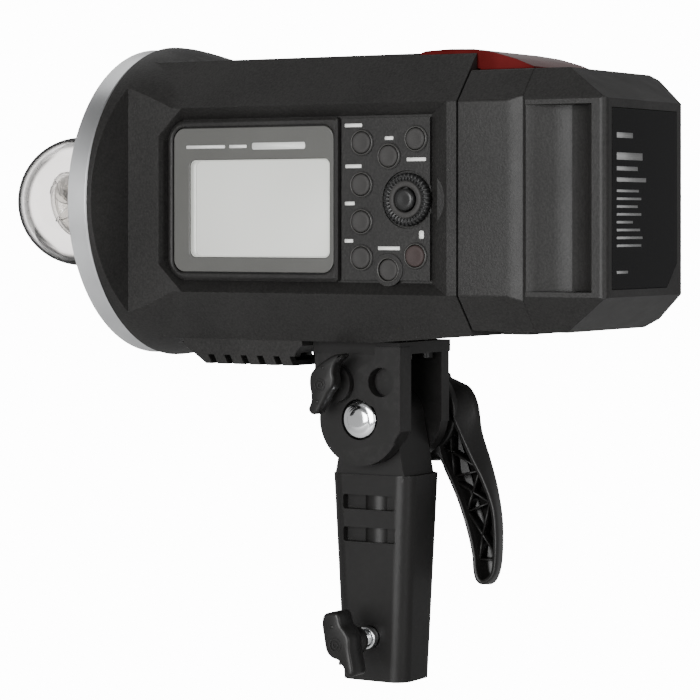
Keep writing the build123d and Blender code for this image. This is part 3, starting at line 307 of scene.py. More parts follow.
# ------------------------------------------------------------------ CAD nodes
def angle_group():
    """Geometry nodes that shade smooth and keep edges over a set angle sharp."""
    g = bpy.data.node_groups.new("smooth_by_angle", "GeometryNodeTree")
    g.interface.new_socket("Geometry", in_out="INPUT", socket_type="NodeSocketGeometry")
    g.interface.new_socket("Geometry", in_out="OUTPUT", socket_type="NodeSocketGeometry")
    gi, go = g.nodes.new("NodeGroupInput"), g.nodes.new("NodeGroupOutput")
    face = g.nodes.new("GeometryNodeSetShadeSmooth")
    face.domain = "FACE"
    edge = g.nodes.new("GeometryNodeSetShadeSmooth")
    edge.domain = "EDGE"
    edge.inputs["Shade Smooth"].default_value = False
    ang = g.nodes.new("GeometryNodeInputMeshEdgeAngle")
    cmp_ = g.nodes.new("FunctionNodeCompare")
    cmp_.data_type = "FLOAT"
    cmp_.operation = "GREATER_THAN"
    cmp_.inputs[1].default_value = math.radians(33)
    g.links.new(gi.outputs[0], face.inputs["Geometry"])
    g.links.new(face.outputs[0], edge.inputs["Geometry"])
    g.links.new(ang.outputs["Unsigned Angle"], cmp_.inputs[0])
    g.links.new(cmp_.outputs[0], edge.inputs["Selection"])
    g.links.new(edge.outputs[0], go.inputs[0])
    return g


ANGLE_GROUP = angle_group()


def soften(o, width, angle=28, segments=2, planar=1.0):
    """Rounds a carried-over node's sharp edges with modifiers."""
    w = o.modifiers.new("weld", "WELD")
    w.merge_threshold = 0.000002
    d = o.modifiers.new("planes", "DECIMATE")
    d.decimate_type = "DISSOLVE"
    d.angle_limit = math.radians(planar)
    if width:
        b = o.modifiers.new("edges", "BEVEL")
        b.width = width
        b.segments = segments
        b.limit_method = "ANGLE"
        b.angle_limit = math.radians(angle)
        b.miter_outer = "MITER_ARC"
        b.use_clamp_overlap = True
    g = o.modifiers.new("angle", "NODES")
    g.node_group = ANGLE_GROUP
    n = o.modifiers.new("normals", "WEIGHTED_NORMAL")
    n.keep_sharp = True
    n.weight = 100


def smooth(o):
    o.data.polygons.foreach_set("use_smooth", [True] * len(o.data.polygons))


SOFT_EDGES = {
    "near_housing": 0.0007, "far_housing": 0.0007, "battery_case": 0.0006, "battery_rear_cover": 0.0018,
    "head_bracket": 0.0006, "stand_bracket": 0.0007, "control_plate": 0.0001,
    "front_ring": 0.0003, "port_panel": 0.0003, "port_cover": 0.0005, "display_plate": 0.0002,
    "battery_label": 0.0001, "lcd_window": 0.0003, "battery_latch": 0.0004, "sensor_window": 0.0006,
    "bayonet_plate": 0.0003, "stand_bushing": 0.0002, "lever_nut": 0.0003, "modifier_latch": 0.0005,
}
slot_of = {s["node"]: s["material_slot"] for s in frame["record"]["subparts"]}
for name, o in nodes.items():
    mat = MATS[slot_of[name]]
    if name == "button_test":
        mat = MATS["button_pink"]
    o.data.materials.clear()
    o.data.materials.append(mat)
    if name in SOFT_EDGES:
        soften(o, SOFT_EDGES[name], segments=4 if name == "battery_rear_cover" else 2)
    else:
        g = o.modifiers.new("weld", "WELD")
        g.merge_threshold = 0.000002
        g = o.modifiers.new("angle", "NODES")
        g.node_group = ANGLE_GROUP


# ------------------------------------------------------------------ stage
def new_object(name, bm, mat=None):
    me = bpy.data.meshes.new(name)
    bm.to_mesh(me)
    bm.free()
    o = bpy.data.objects.new(name, me)
    bpy.context.scene.collection.objects.link(o)
    if mat:
        me.materials.append(mat)
    return o


M = Mat("studio_floor")
M.link(M.ramp(M.noise(3.0, 2.0), [(0.3, (0.80, 0.80, 0.80)), (0.7, (0.83, 0.83, 0.83))]), M.b.inputs["Base Color"])
M.b.inputs["Roughness"].default_value = 0.8
bm = bmesh.new()
bmesh.ops.create_circle(bm, cap_ends=True, segments=96, radius=1.25)
floor = new_object("floor", bm, M.m)
floor.location = (0, 0, -0.32)

world = bpy.data.worlds.new("studio")
bpy.context.scene.world = world
world.use_nodes = True
wn = world.node_tree
wn.nodes.clear()
wo = wn.nodes.new("ShaderNodeOutputWorld")
bg = wn.nodes.new("ShaderNodeBackground")
tc = wn.nodes.new("ShaderNodeTexCoord")
sep = wn.nodes.new("ShaderNodeSeparateXYZ")
absn = wn.nodes.new("ShaderNodeMath"); absn.operation = "ABSOLUTE"
rmp = wn.nodes.new("ShaderNodeValToRGB")
wn.links.new(tc.outputs["Generated"], sep.inputs[0])
wn.links.new(sep.outputs["Z"], absn.inputs[0])
wn.links.new(absn.outputs[0], rmp.inputs[0])
rmp.color_ramp.elements[0].position = 0.25
rmp.color_ramp.elements[0].color = (1, 1, 1, 1)
rmp.color_ramp.elements[1].position = 0.75
rmp.color_ramp.elements[1].color = (0.35, 0.35, 0.35, 1)
wn.links.new(rmp.outputs[0], bg.inputs[0])
bg.inputs[1].default_value = 0.52
# the room's white wall as seen straight or through glass
wall = wn.nodes.new("ShaderNodeBackground")
wall.inputs[0].default_value = (1, 1, 1, 1)
wall.inputs[1].default_value = 14.0
lp = wn.nodes.new("ShaderNodeLightPath")
through = wn.nodes.new("ShaderNodeBackground")
through.inputs[0].default_value = (1.0, 0.985, 0.975, 1)
through.inputs[1].default_value = 2.6
first = wn.nodes.new("ShaderNodeMixShader")
wn.links.new(lp.outputs["Is Transmission Ray"], first.inputs[0])
wn.links.new(bg.outputs[0], first.inputs[1])
wn.links.new(through.outputs[0], first.inputs[2])
pick = wn.nodes.new("ShaderNodeMixShader")
wn.links.new(lp.outputs["Is Camera Ray"], pick.inputs[0])
wn.links.new(first.outputs[0], pick.inputs[1])
wn.links.new(wall.outputs[0], pick.inputs[2])
wn.links.new(pick.outputs[0], wo.inputs[0])


def softbox(name, loc, target, size, power):
    ld = bpy.data.lights.new(name, "AREA")
    ld.shape = "RECTANGLE"
    ld.size, ld.size_y = size
    ld.energy = power
    lo = bpy.data.objects.new(name, ld)
    bpy.context.scene.collection.objects.link(lo)
    lo.location = loc
    d = Vector(target) - Vector(loc)
    lo.rotation_euler = d.to_track_quat("-Z", "Y").to_euler()
    return lo


softbox("key", (1.9, 0.15, 0.30), (0, 0, 0.15), (1.2, 1.0), 56)
softbox("top", (-0.5, -0.9, 1.4), (0, 0, 0.2), (1.0, 1.0), 3)
softbox("rear", (0.55, 1.5, 0.35), (0, 0.05, 0.2), (0.35, 0.9), 9)

# ------------------------------------------------------------------ shape helpers
def poly(name, verts, faces, mat, bevel=0.0, segs=2, angle=30, subsurf=0):
    me = bpy.data.meshes.new(name)
    me.from_pydata([tuple(v) for v in verts], [], faces)
    bmx = bmesh.new()
    bmx.from_mesh(me)
    bmesh.ops.recalc_face_normals(bmx, faces=bmx.faces)
    bmx.to_mesh(me)
    bmx.free()
    me.validate()
    o = bpy.data.objects.new(name, me)
    bpy.context.scene.collection.objects.link(o)
    me.materials.append(mat)
    me.polygons.foreach_set("use_smooth", [True] * len(me.polygons))
    if bevel:
        b = o.modifiers.new("edges", "BEVEL")
        b.width = bevel
        b.segments = segs
        b.limit_method = "ANGLE"
        b.angle_limit = math.radians(angle)
        b.harden_normals = True
    if subsurf:
        u = o.modifiers.new("sub", "SUBSURF")
        u.levels = subsurf
        u.render_levels = subsurf
    return o


def rr(cy, cz, w, h, r, n=8):
    """Rounded rectangle in the side plane, as a list of (y, z)."""
    pts = []
    for k, (sy, sz) in enumerate(((1, 1), (-1, 1), (-1, -1), (1, -1))):
        oy, oz = cy + sy * (w / 2 - r), cz + sz * (h / 2 - r)
        for i in range(n + 1):
            t = math.radians(90 * k + 90 * i / n)
            pts.append((oy + r * math.cos(t), oz + r * math.sin(t)))
    return pts


def circle(cy, cz, r, n=64):
    return [(cy + r * math.cos(2 * math.pi * i / n), cz + r * math.sin(2 * math.pi * i / n)) for i in range(n)]


def loops(name, rings, mat, cap_first=True, cap_last=True, **kw):
    """Skin through rings of equal count; each ring is (x, [(y, z), ...])."""
    verts, faces = [], []
    n = len(rings[0][1])
    for x, pts in rings:
        verts += [(x, y, z) for y, z in pts]
    for k in range(len(rings) - 1):
        for i in range(n):
            j = (i + 1) % n
            faces.append((k * n + i, k * n + j, (k + 1) * n + j, (k + 1) * n + i))
    if cap_first:
        faces.append(tuple(range(n))[::-1])
    if cap_last:
        faces.append(tuple((len(rings) - 1) * n + i for i in range(n)))
    return poly(name, verts, faces, mat, **kw)


def frame_plate(name, x0, x1, outer, inner, mat, **kw):
    """Plate with an opening: outer and inner loops hold the same number of points."""
    n = len(outer)
    rings = [(x0, outer), (x1, outer), (x1, inner), (x0, inner)]
    verts, faces = [], []
    for x, pts in rings:
        verts += [(x, y, z) for y, z in pts]
    for k in range(4):
        m = (k + 1) % 4
        for i in range(n):
            j = (i + 1) % n
            faces.append((k * n + i, k * n + j, m * n + j, m * n + i))
    return poly(name, verts, faces, mat, **kw)


def smooth_outline(pts, per=6):
    """Closed Catmull-Rom line through the points."""
    out = []
    n = len(pts)
    for i in range(n):
        p0, p1, p2, p3 = (Vector(pts[(i + k) % n]) for k in (-1, 0, 1, 2))
        for s_ in range(per):
            t = s_ / per
            out.append(tuple(0.5 * ((2 * p1) + (p2 - p0) * t + (2 * p0 - 5 * p1 + 4 * p2 - p3) * t * t
                                    + (3 * p1 - p0 - 3 * p2 + p3) * t * t * t)))
    return out


def shrink(pts, cy, cz, f):
    return [(cy + (y - cy) * f, cz + (z - cz) * f) for y, z in pts]


def tube(name, pts, radius, mat, sides=16, closed=False, cap=True):
    """Round tube along a list of points, with a steady frame."""
    pts = [Vector(p) for p in pts]
    n = len(pts)
    verts, faces = [], []
    up = None
    for i, p in enumerate(pts):
        d = (pts[min(i + 1, n - 1)] - pts[max(i - 1, 0)]).normalized()
        if up is None:
            up = d.orthogonal().normalized()
        up = (up - d * up.dot(d)).normalized()
        side_ = d.cross(up)
        r = radius(i / (n - 1)) if callable(radius) else radius
        for k in range(sides):
            t = 2 * math.pi * k / sides
            verts.append(p + up * (r * math.cos(t)) + side_ * (r * math.sin(t)))
    for i in range(n - 1):
        for k in range(sides):
            m = (k + 1) % sides
            faces.append((i * sides + k, i * sides + m, (i + 1) * sides + m, (i + 1) * sides + k))
    if cap:
        faces.append(tuple(range(sides))[::-1])
        faces.append(tuple((n - 1) * sides + k for k in range(sides)))
    return poly(name, verts, faces, mat)


def join(name, parts):
    """Joins pieces of one material into one mesh, modifiers applied first."""
    deps = bpy.context.evaluated_depsgraph_get()
    bmx = bmesh.new()
    mats = []
    for p in parts:
        ev = p.evaluated_get(deps)
        me = bpy.data.meshes.new_from_object(ev)
        me.transform(p.matrix_world)
        base = len(mats)
        mats += list(p.data.materials)
        if base:
            me.polygons.foreach_set("material_index", [base] * len(me.polygons))
        bmx.from_mesh(me)
        bpy.data.meshes.remove(me)
    for p in parts:
        bpy.data.objects.remove(p)
    me = bpy.data.meshes.new(name)
    bmx.to_mesh(me)
    bmx.free()
    for m_ in mats:
        me.materials.append(m_)
    o = bpy.data.objects.new(name, me)
    bpy.context.scene.collection.objects.link(o)
    return o


# ------------------------------------------------------------------ display
X_PLATE0, X_PLATE1 = 0.0400, 0.0415
outer = rr(yy(74.1), AZ, 0.0730, 0.0554, 0.0048, 10)
inner = rr(yy(76.9), zz(-3.35), 0.0638, 0.0375, 0.0026, 10)
plate = frame_plate("display_face", X_PLATE0, X_PLATE1, outer, inner, MATS["display_grey"], bevel=0.00035, segs=3)
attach(plate, "head")
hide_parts("display_plate")

win = rr(yy(76.9), zz(-3.35), 0.0636, 0.0373, 0.0024, 10)
cover = loops("lcd_cover", [(0.0395, win), (0.04085, win), (0.0410, shrink(win, yy(76.9), zz(-3.35), 0.994))],
              MATS["lcd_window"])
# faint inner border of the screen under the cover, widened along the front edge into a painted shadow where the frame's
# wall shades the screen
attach(cover, "head")
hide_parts("lcd_window")

# darker band laid on the screen: a thin border all round, plus painted shadow about 2.7 mm wide along the front edge
M = Mat("lcd_border_and_shadow")
M.link(M.ramp(M.noise(30.0, 1.0), [(0.35, (0.43, 0.44, 0.41)), (0.65, (0.46, 0.47, 0.44))]), M.b.inputs["Base Color"])
M.b.inputs["Roughness"].default_value = 0.2
border_and_shadow = frame_plate("lcd_margin_and_shadow", 0.04095, 0.04106,
                     rr(yy(76.9), zz(-3.35), 0.0630, 0.0367, 0.0022, 10),
                     rr(yy(78.2), zz(-3.35), 0.0602, 0.0363, 0.0022, 10), M.m)
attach(border_and_shadow, "head")

# frame round the plate, with rounded corners on its front side
FR = [(40.6, 27.6), (36.2, 23.2), (36.2, -23.2), (40.6, -27.6)]


def lopsided(y0, y1, z0, z1, r_front, r_rear, n=10):
    """Rounded rectangle with its own radius at the front and at the rear corners."""
    pts = []
    for sy, sz, r, k in ((1, 1, r_rear, 0), (-1, 1, r_front, 1), (-1, -1, r_front, 2), (1, -1, r_rear, 3)):
        oy = (y1 - r) if sy > 0 else (y0 + r)
        oz = (z1 - r) if sz > 0 else (z0 + r)
        for i in range(n + 1):
            t = math.radians(90 * k + 90 * i / n)
            pts.append((oy + r * math.cos(t), oz + r * math.sin(t)))
    return pts


flo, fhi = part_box("display_frame")
o0 = lopsided(flo[1], fhi[1], flo[2], fhi[2], 0.0085, 0.0012)
o1 = lopsided(flo[1] + 0.0003, fhi[1] - 0.0003, flo[2] + 0.0003, fhi[2] - 0.0003, 0.0082, 0.0010)
o2 = lopsided(flo[1] + 0.0011, fhi[1] - 0.0008, flo[2] + 0.0011, fhi[2] - 0.0011, 0.0076, 0.0008)
i0 = lopsided(yy(74.1) - 0.0369, yy(74.1) + 0.0369, AZ - 0.0281, AZ + 0.0281, 0.0052, 0.0052)
i1 = lopsided(yy(74.1) - 0.0372, yy(74.1) + 0.0372, AZ - 0.0284, AZ + 0.0284, 0.0054, 0.0054)
fx0, fx1 = flo[0], fhi[0]
frame_rings = [(fx0, o0), (fx1 - 0.0011, o0), (fx1 - 0.0008, o1), (fx1 - 0.0001, o2), (fx1, [(a_ * 0.5 + b_ * 0.5, c_ * 0.5 + d_ * 0.5) for (a_, c_), (b_, d_) in zip(o2, i1)]),
               (fx1 - 0.0002, i1), (fx1 - 0.0006, i0), (0.0401, i0), (0.0401, [(yy(74.1) + (y_ - yy(74.1)) * 0.93, AZ + (z_ - AZ) * 0.93) for y_, z_ in i0]),
               (fx0, [(yy(74.1) + (y_ - yy(74.1)) * 0.93, AZ + (z_ - AZ) * 0.93) for y_, z_ in i0])]
verts, faces = [], []
n_ = len(o0)
for x, q in frame_rings:
    verts += [(x, y, z) for y, z in q]
for k in range(len(frame_rings)):
    m = (k + 1) % len(frame_rings)
    for i in range(n_):
        j = (i + 1) % n_
        faces.append((k * n_ + i, k * n_ + j, m * n_ + j, m * n_ + i))
fr = poly("screen_frame", verts, faces, MATS["casing_plastic"])
g = fr.modifiers.new("angle", "NODES")
g.node_group = ANGLE_GROUP
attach(fr, "head")
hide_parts("display_frame")

# rounded grip at the rear of the battery's finger scoop
prof = [(35.0, 207.0), (35.5, 210.0), (36.3, 212.6), (37.4, 214.5), (39.0, 216.2), (40.8, 217.6), (42.2, 218.8), (43.0, 220.0),
        (43.18, 221.2), (42.9, 222.2), (41.0, 222.8), (36.0, 222.0), (34.0, 214.0)]
pr = smooth_outline([(x * MM, yy(y)) for x, y in prof], 4)
n_ = len(pr)
verts, faces = [], []
zs = [zz(-33.4), zz(-33.2), zz(33.2), zz(33.4)]
for z in zs:
    verts += [(x, y, z) for x, y in pr]
for k in range(3):
    for i in range(n_):
        j = (i + 1) % n_
        faces.append((k * n_ + i, k * n_ + j, (k + 1) * n_ + j, (k + 1) * n_ + i))
faces.append(tuple(range(n_))[::-1])
faces.append(tuple(3 * n_ + i for i in range(n_)))
grip = poly("scoop_grip", verts, faces, MATS["casing_plastic"])
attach(grip, "battery")

# plain pale bars where the photograph has a name on the plate
bars = []
for cy, cz, w, h in ((52.5, 20.4, 18.0, 1.2), (67.5, 20.4, 8.0, 1.2), (86.0, 20.4, 24.0, 2.6)):
    bars.append(loops("bar", [(0.04145, rr(yy(cy), zz(cz), w * MM, h * MM, h * MM * 0.3, 4)),
                              (0.04154, rr(yy(cy), zz(cz), w * MM, h * MM, h * MM * 0.3, 4))], MATS["print_white"]))
marks = join("plate_print", bars)
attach(marks, "head")

# ------------------------------------------------------------------ buttons
BUT = {
    "mode": (122.4, 21.1), "menu": (122.2, 5.4), "hss": (122.2, -8.4), "lamp": (122.2, -21.9),
    "sync": (134.1, 15.9), "group": (145.7, 22.2), "test": (145.5, -21.1), "power": (133.9, -26.3),
}
for key, (u, v) in BUT.items():
    lo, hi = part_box("button_" + key)
    x0, x1 = lo[0], hi[0]
    mat = MATS["button_pink"] if key == "test" else MATS["button_rubber"]
    cy, cz, r = yy(u), zz(v), 0.0040
    rings = [(x0, circle(cy, cz, r)), (x1 - 0.0007, circle(cy, cz, r)), (x1 - 0.0003, circle(cy, cz, r - 0.00012)),
             (x1 - 0.0001, circle(cy, cz, r - 0.00035)), (x1, circle(cy, cz, r - 0.0008)),
             (x1 - 0.00005, circle(cy, cz, r * 0.6)), (x1 - 0.0002, circle(cy, cz, r * 0.25)),
             (x1 - 0.00022, circle(cy, cz, r * 0.05))]
    cap = loops("cap_" + key, rings, mat)
    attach(cap, "button_" + key)
    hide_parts("button_" + key)

# raised collars round the button holes
collars = []
for key, (u, v) in BUT.items():
    big = 0.0012 if key == "power" else 0.0
    r0, r1 = 0.0043, 0.0050 + big
    cy, cz = yy(u), zz(v)
    collars.append(frame_plate("collar", 0.0399, 0.0407, circle(cy, cz, r1), circle(cy, cz, r0 + 0.00022), MATS["casing_plastic"],
                               bevel=0.0002, segs=2))
    # each collar's lip is a thin ring in the lighter collar material: a painted highlight along the collar's edge
    collars.append(frame_plate("lip", 0.0399, 0.0409, circle(cy, cz, r0 + 0.00030), circle(cy, cz, r0), MATS["collar_lip_highlight"]))
ring_set = join("button_collars", collars)
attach(ring_set, "head")

# plain pale ticks where the legends are
ticks = []
for cy, cz, w, h in ((118.6, 27.6, 7.5, 1.3), (118.6, 12.3, 7.0, 1.3), (117.0, -1.6, 4.2, 1.3), (116.6, -15.6, 3.6, 1.3),
                     (134.1, 22.6, 3.6, 1.3), (145.8, 14.6, 8.2, 1.3), (148.0, -13.2, 2.0, 3.0), (134.0, -18.3, 9.4, 1.3)):
    ticks.append(loops("tick", [(0.04018, rr(yy(cy), zz(cz), w * MM, h * MM, h * MM * 0.2, 3)),
                                (0.04026, rr(yy(cy), zz(cz), w * MM, h * MM, h * MM * 0.2, 3))], MATS["print_white"]))
tick_set = join("panel_print", ticks)
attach(tick_set, "head")

# ------------------------------------------------------------------ dial
DY, DZ = yy(142.0), zz(-0.25)
N = 36
prof = []
rings = []
count = N * 6


def gear(r_in, r_out):
    pts = []
    for i in range(count):
        ph = (i % 6)
        r = r_out if ph in (1, 2, 3) else r_in
        t = 2 * math.pi * i / count
        pts.append((DY + r * math.cos(t), DZ + r * math.sin(t)))
    return pts


lo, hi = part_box("select_dial")
X0, X1 = lo[0], hi[0]
R = (hi[1] - lo[1]) / 2
rings = [
    (0.0395, gear(R - 0.00005, R)), (0.0411, gear(R - 0.0006, R)), (0.0419, gear(R - 0.0011, R - 0.0003)),
    (0.04205, gear(R - 0.0018, R - 0.0009)), (0.0416, gear(0.0069, 0.0070)),
]
rib_faces = loops("dial_ribs", rings, MATS["dial_plastic"], cap_first=True, cap_last=False)
# ring of fine grooves and the smooth inner cone
cone = loops("dial_cone", [(0.0416, circle(DY, DZ, 0.00700, count)), (0.0421, circle(DY, DZ, 0.00685, count)),
                           (0.0423, circle(DY, DZ, 0.0066, count)), (0.0423, circle(DY, DZ, 0.0050, count)),
                           (0.0421, circle(DY, DZ, 0.0048, count)), (0.0398, circle(DY, DZ, 0.0047, count))],
             MATS["button_rubber"], cap_first=False, cap_last=False)
# separate raised blades on the face of the dial
blades = []
for i in range(N):
    t = 2 * math.pi * (i + 0.45) / N
    c, s_ = math.cos(t), math.sin(t)
    r0, r1 = 0.0071, R - 0.0004
    w0, w1 = 0.00030, 0.00048
    def at(r, w):
        return (DY + r * c - w * s_, DZ + r * s_ + w * c)
    base = [at(r0, -w0), at(r1, -w1), at(r1, w1), at(r0, w0)]
    top = [at(r0 + 0.0002, -w0 * 0.7), at(r1 - 0.0006, -w1 * 0.75), at(r1 - 0.0006, w1 * 0.75), at(r0 + 0.0002, w0 * 0.7)]
    blades.append(loops("blade", [(0.0416, base), (0.04240, top)], MATS["dial_plastic"], bevel=0.00012, segs=2))
dial = join("dial_wheel", [rib_faces, cone] + blades)
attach(dial, "select_dial")
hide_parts("select_dial")

r = 0.00415
knob_c = loops("dial_centre", [(0.0404, circle(DY, DZ, r)), (0.0425, circle(DY, DZ, r)), (0.0431, circle(DY, DZ, r - 0.0003)),
                               (0.0434, circle(DY, DZ, r - 0.0009)), (0.04345, circle(DY, DZ, r * 0.55)),
                               (0.0433, circle(DY, DZ, r * 0.2))], MATS["dial_plastic"])
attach(knob_c, "dial_button")
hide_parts("dial_button")

# ------------------------------------------------------------------ flash tube
def coil_point(t, r=0.0125, rise=0.0125):
    return (r * math.cos(t), 0.0, r * math.sin(t))


pts = []
turns = 1.75
steps = 120
base_y, tip_y = yy(-14.0), yy(-45.5)
for i in range(steps + 1):
    f = i / steps
    a_ = math.radians(200) + 2 * math.pi * turns * f
    rr_ = 0.0092
    y_ = base_y + (tip_y - base_y) * (f ** 0.9)
    pts.append((rr_ * math.cos(a_), y_, zz(1.0 - 3.0 * f) + rr_ * 1.05 * math.sin(a_)))
lead_in = [(pts[0][0], yy(0.5) + (pts[0][1] - yy(0.5)) * k / 6, pts[0][2]) for k in range(6)]
end = Vector(pts[-1])
lead_out = []
for k in range(1, 15):
    f = k / 14
    tgt = Vector((0.001, yy(0.5), zz(0.5)))
    mid = Vector((0.004, tip_y - 0.003, zz(3.0)))
    lead_out.append(tuple(end * (1 - f) ** 2 + mid * 2 * f * (1 - f) + tgt * f ** 2))
path = lead_in + pts + lead_out
outer_q = tube("quartz_coil", path, 0.0047, MATS["quartz"], 20)
inner_q = tube("quartz_bore", path, 0.0031, MATS["quartz"], 14)
for f_ in inner_q.data.polygons:
    f_.flip()
coil = join("flash_coil", [outer_q, inner_q])
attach(coil, "head")
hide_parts("flash_tube")
# trigger wire wound along the tube
wire = []
for i in range(8, len(path) - 12, 1):
    f = i / len(path)
    p = Vector(path[i])
    q = Vector(path[i + 1])
    d = (q - p).normalized()
    u_ = d.orthogonal().normalized()
    v_ = d.cross(u_)
    t = i * 0.55
    wire.append(p + (u_ * math.cos(t) + v_ * math.sin(t)) * 0.0050)
trig = tube("trigger_wire", wire, 0.00022, MATS["steel"], 8)
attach(trig, "head")

# ------------------------------------------------------------------ umbrella knob
UY, UZ = yy(99.2), 0.1146
K_OUT = [(6.2, 11.5), (9.0, 11.9), (9.6, 10.9), (6.6, 8.3), (5.5, 4.9), (5.9, 2.3), (5.3, -0.75), (3.1, -3.4),
         (0.44, -7.9), (-1.5, -10.9), (-4.0, -11.3), (-5.4, -9.4), (-4.3, -6.4), (-4.4, -3.0), (-5.0, 0.4),
         (-4.4, 4.2), (-1.3, 7.2), (2.7, 9.8)]
edge = smooth_outline([(UY + y * MM, UZ + z * MM) for y, z in K_OUT], 5)


def inset(pts, d):
    n = len(pts)
    area = sum(pts[i][0] * pts[(i + 1) % n][1] - pts[(i + 1) % n][0] * pts[i][1] for i in range(n))
    sgn = 1.0 if area > 0 else -1.0
    out = []
    for i in range(n):
        a_, b_, c_ = pts[i - 2], pts[i], pts[(i + 2) % n]
        ty, tz = c_[0] - a_[0], c_[1] - a_[1]
        m_ = math.hypot(ty, tz) or 1.0
        out.append((b_[0] - sgn * tz / m_ * d, b_[1] + sgn * ty / m_ * d))
    return out


def wing_knob(name, outline, x0, x1, cy, cz, mat, core, soft=0.0009):
    rings = [(x0, inset(outline, 0.0004)), (x0 + 0.0003, outline), (x1 - soft, outline),
             (x1 - soft * 0.45, inset(outline, soft * 0.25)), (x1 - soft * 0.12, inset(outline, soft * 0.65)),
             (x1, inset(outline, soft * 1.15))]
    body = loops(name + "_body", rings, mat)
    parts = [body]
    for r0, r1, h in ((core * 0.30, core * 0.52, 0.00035), (core * 0.80, core, 0.0003)):
        parts.append(frame_plate("ring", x1 - 0.0002, x1 + h, circle(cy, cz, r1, 48), circle(cy, cz, r0, 48), mat,
                                 bevel=0.00012, segs=2))
    return parts


parts = wing_knob("umb", edge, 0.0272, 0.0330, UY, UZ, MATS["knob_plastic"], 0.0024)
for y, z in ((1.3, 6.6), (-1.3, -6.4)):
    parts.append(loops("mark", [(0.0329, rr(UY + y * MM, UZ + z * MM, 0.0014, 0.0014, 0.0003, 3)),
                                (0.0333, rr(UY + y * MM, UZ + z * MM, 0.0011, 0.0011, 0.0003, 3))], MATS["knob_plastic"]))
uk = join("umbrella_wing", parts)
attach(uk, "umbrella_knob")
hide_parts("umbrella_knob")

# ------------------------------------------------------------------ stand knob
SY, SZ = 0.0, 0.017
S_OUT = [(-5.5, 11.0), (-2.7, 12.2), (0.2, 12.4), (1.5, 11.0), (2.4, 7.9), (4.4, 5.6), (6.0, 2.6), (6.3, -1.6), (7.0, -5.2),
         (7.8, -9.4), (7.0, -11.3), (4.8, -11.3), (3.2, -8.6), (1.0, -5.9), (-2.3, -4.8), (-4.5, -2.3), (-5.6, 3.1), (-6.3, 7.5)]
edge_s = smooth_outline([(SY + y * MM, SZ + z * MM) for y, z in S_OUT], 5)
parts = wing_knob("std", edge_s, 0.0280, 0.0374, SY, SZ, MATS["knob_plastic"], 0.0026, 0.0012)
parts.append(loops("neck", [(0.0216, circle(SY, SZ, 0.0050)), (0.0222, circle(SY, SZ, 0.0054)), (0.0282, circle(SY, SZ, 0.0056))],
                   MATS["knob_plastic"]))
for y, z in ((-1.6, 6.8), (2.2, -6.6)):
    parts.append(loops("mark", [(0.0373, rr(SY + y * MM, SZ + z * MM, 0.0014, 0.0014, 0.0003, 3)),
                                (0.03755, rr(SY + y * MM, SZ + z * MM, 0.0011, 0.0011, 0.0003, 3))], MATS["knob_plastic"]))
sk = join("stand_wing", parts)
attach(sk, "stand_knob")
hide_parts("stand_knob")


def threaded(name, cy, cz, x0, x1, x_thread0, x_thread1, r, pitch, mat):
    """Plain shank with a turned thread between two stations."""
    n = 40
    rings = [(x0, circle(cy, cz, r * 0.9, n)), (x0 + 0.0003, circle(cy, cz, r, n))]
    verts, faces = [], []
    shank = loops(name + "_shank", [(x0, circle(cy, cz, r * 0.86, n)), (x1, circle(cy, cz, r * 0.86, n))], mat)
    turns = (x_thread1 - x_thread0) / pitch
    steps = int(turns * 32)
    prof = ((-0.46, 0.84), (-0.06, 1.0), (0.06, 1.0), (0.46, 0.84))
    for i in range(steps + 1):
        t = 2 * math.pi * i / 32
        x = x_thread0 + pitch * i / 32
        for dx, f in prof:
            verts.append((x + dx * pitch, cy + r * f * math.cos(t), cz + r * f * math.sin(t)))
    for i in range(steps):
        for k in range(3):
            a0 = i * 4 + k
            faces.append((a0, a0 + 1, a0 + 5, a0 + 4))
        faces.append((i * 4 + 3, i * 4, i * 4 + 4, i * 4 + 7))
    faces.append((0, 1, 2, 3))
    e = steps * 4
    faces.append((e + 3, e + 2, e + 1, e))
    helix = poly(name + "_thread", verts, faces, mat)
    return join(name, [shank, helix])


lo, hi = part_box("stand_screw")
sc = threaded("stand_bolt", SY, SZ, lo[0], hi[0] - 0.0002, lo[0] + 0.0006, 0.0214, 0.0030, 0.00125, MATS["chrome"])
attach(sc, "stand_knob")
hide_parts("stand_screw")
lo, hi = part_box("umbrella_screw")
sc = threaded("umbrella_bolt", UY, UZ, lo[0], hi[0] - 0.0002, lo[0] + 0.0006, 0.0270, 0.00248, 0.00125, MATS["steel"])
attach(sc, "umbrella_knob")
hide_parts("umbrella_screw")

# bushing with a turned rim
lo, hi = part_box("stand_bushing")
n_ = 56
bx0, bx1 = lo[0], hi[0]
prof = [(bx0, 0.00435), (bx1 - 0.0006, 0.00435), (bx1 - 0.0002, 0.0042), (bx1, 0.0039), (bx1, 0.0036), (bx1 - 0.0003, 0.0034),
        (bx1 - 0.0008, 0.0033), (bx0, 0.00315)]
verts, faces = [], []
for x, r in prof:
    verts += [(x, y, z) for y, z in circle(SY, SZ, r, n_)]
for k in range(len(prof)):
    m = (k + 1) % len(prof)
    for i in range(n_):
        j = (i + 1) % n_
        faces.append((k * n_ + i, k * n_ + j, m * n_ + j, m * n_ + i))
bush = poly("bushing_ring", verts, faces, MATS["chrome"])
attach(bush, "stand_bracket")
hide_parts("stand_bushing")

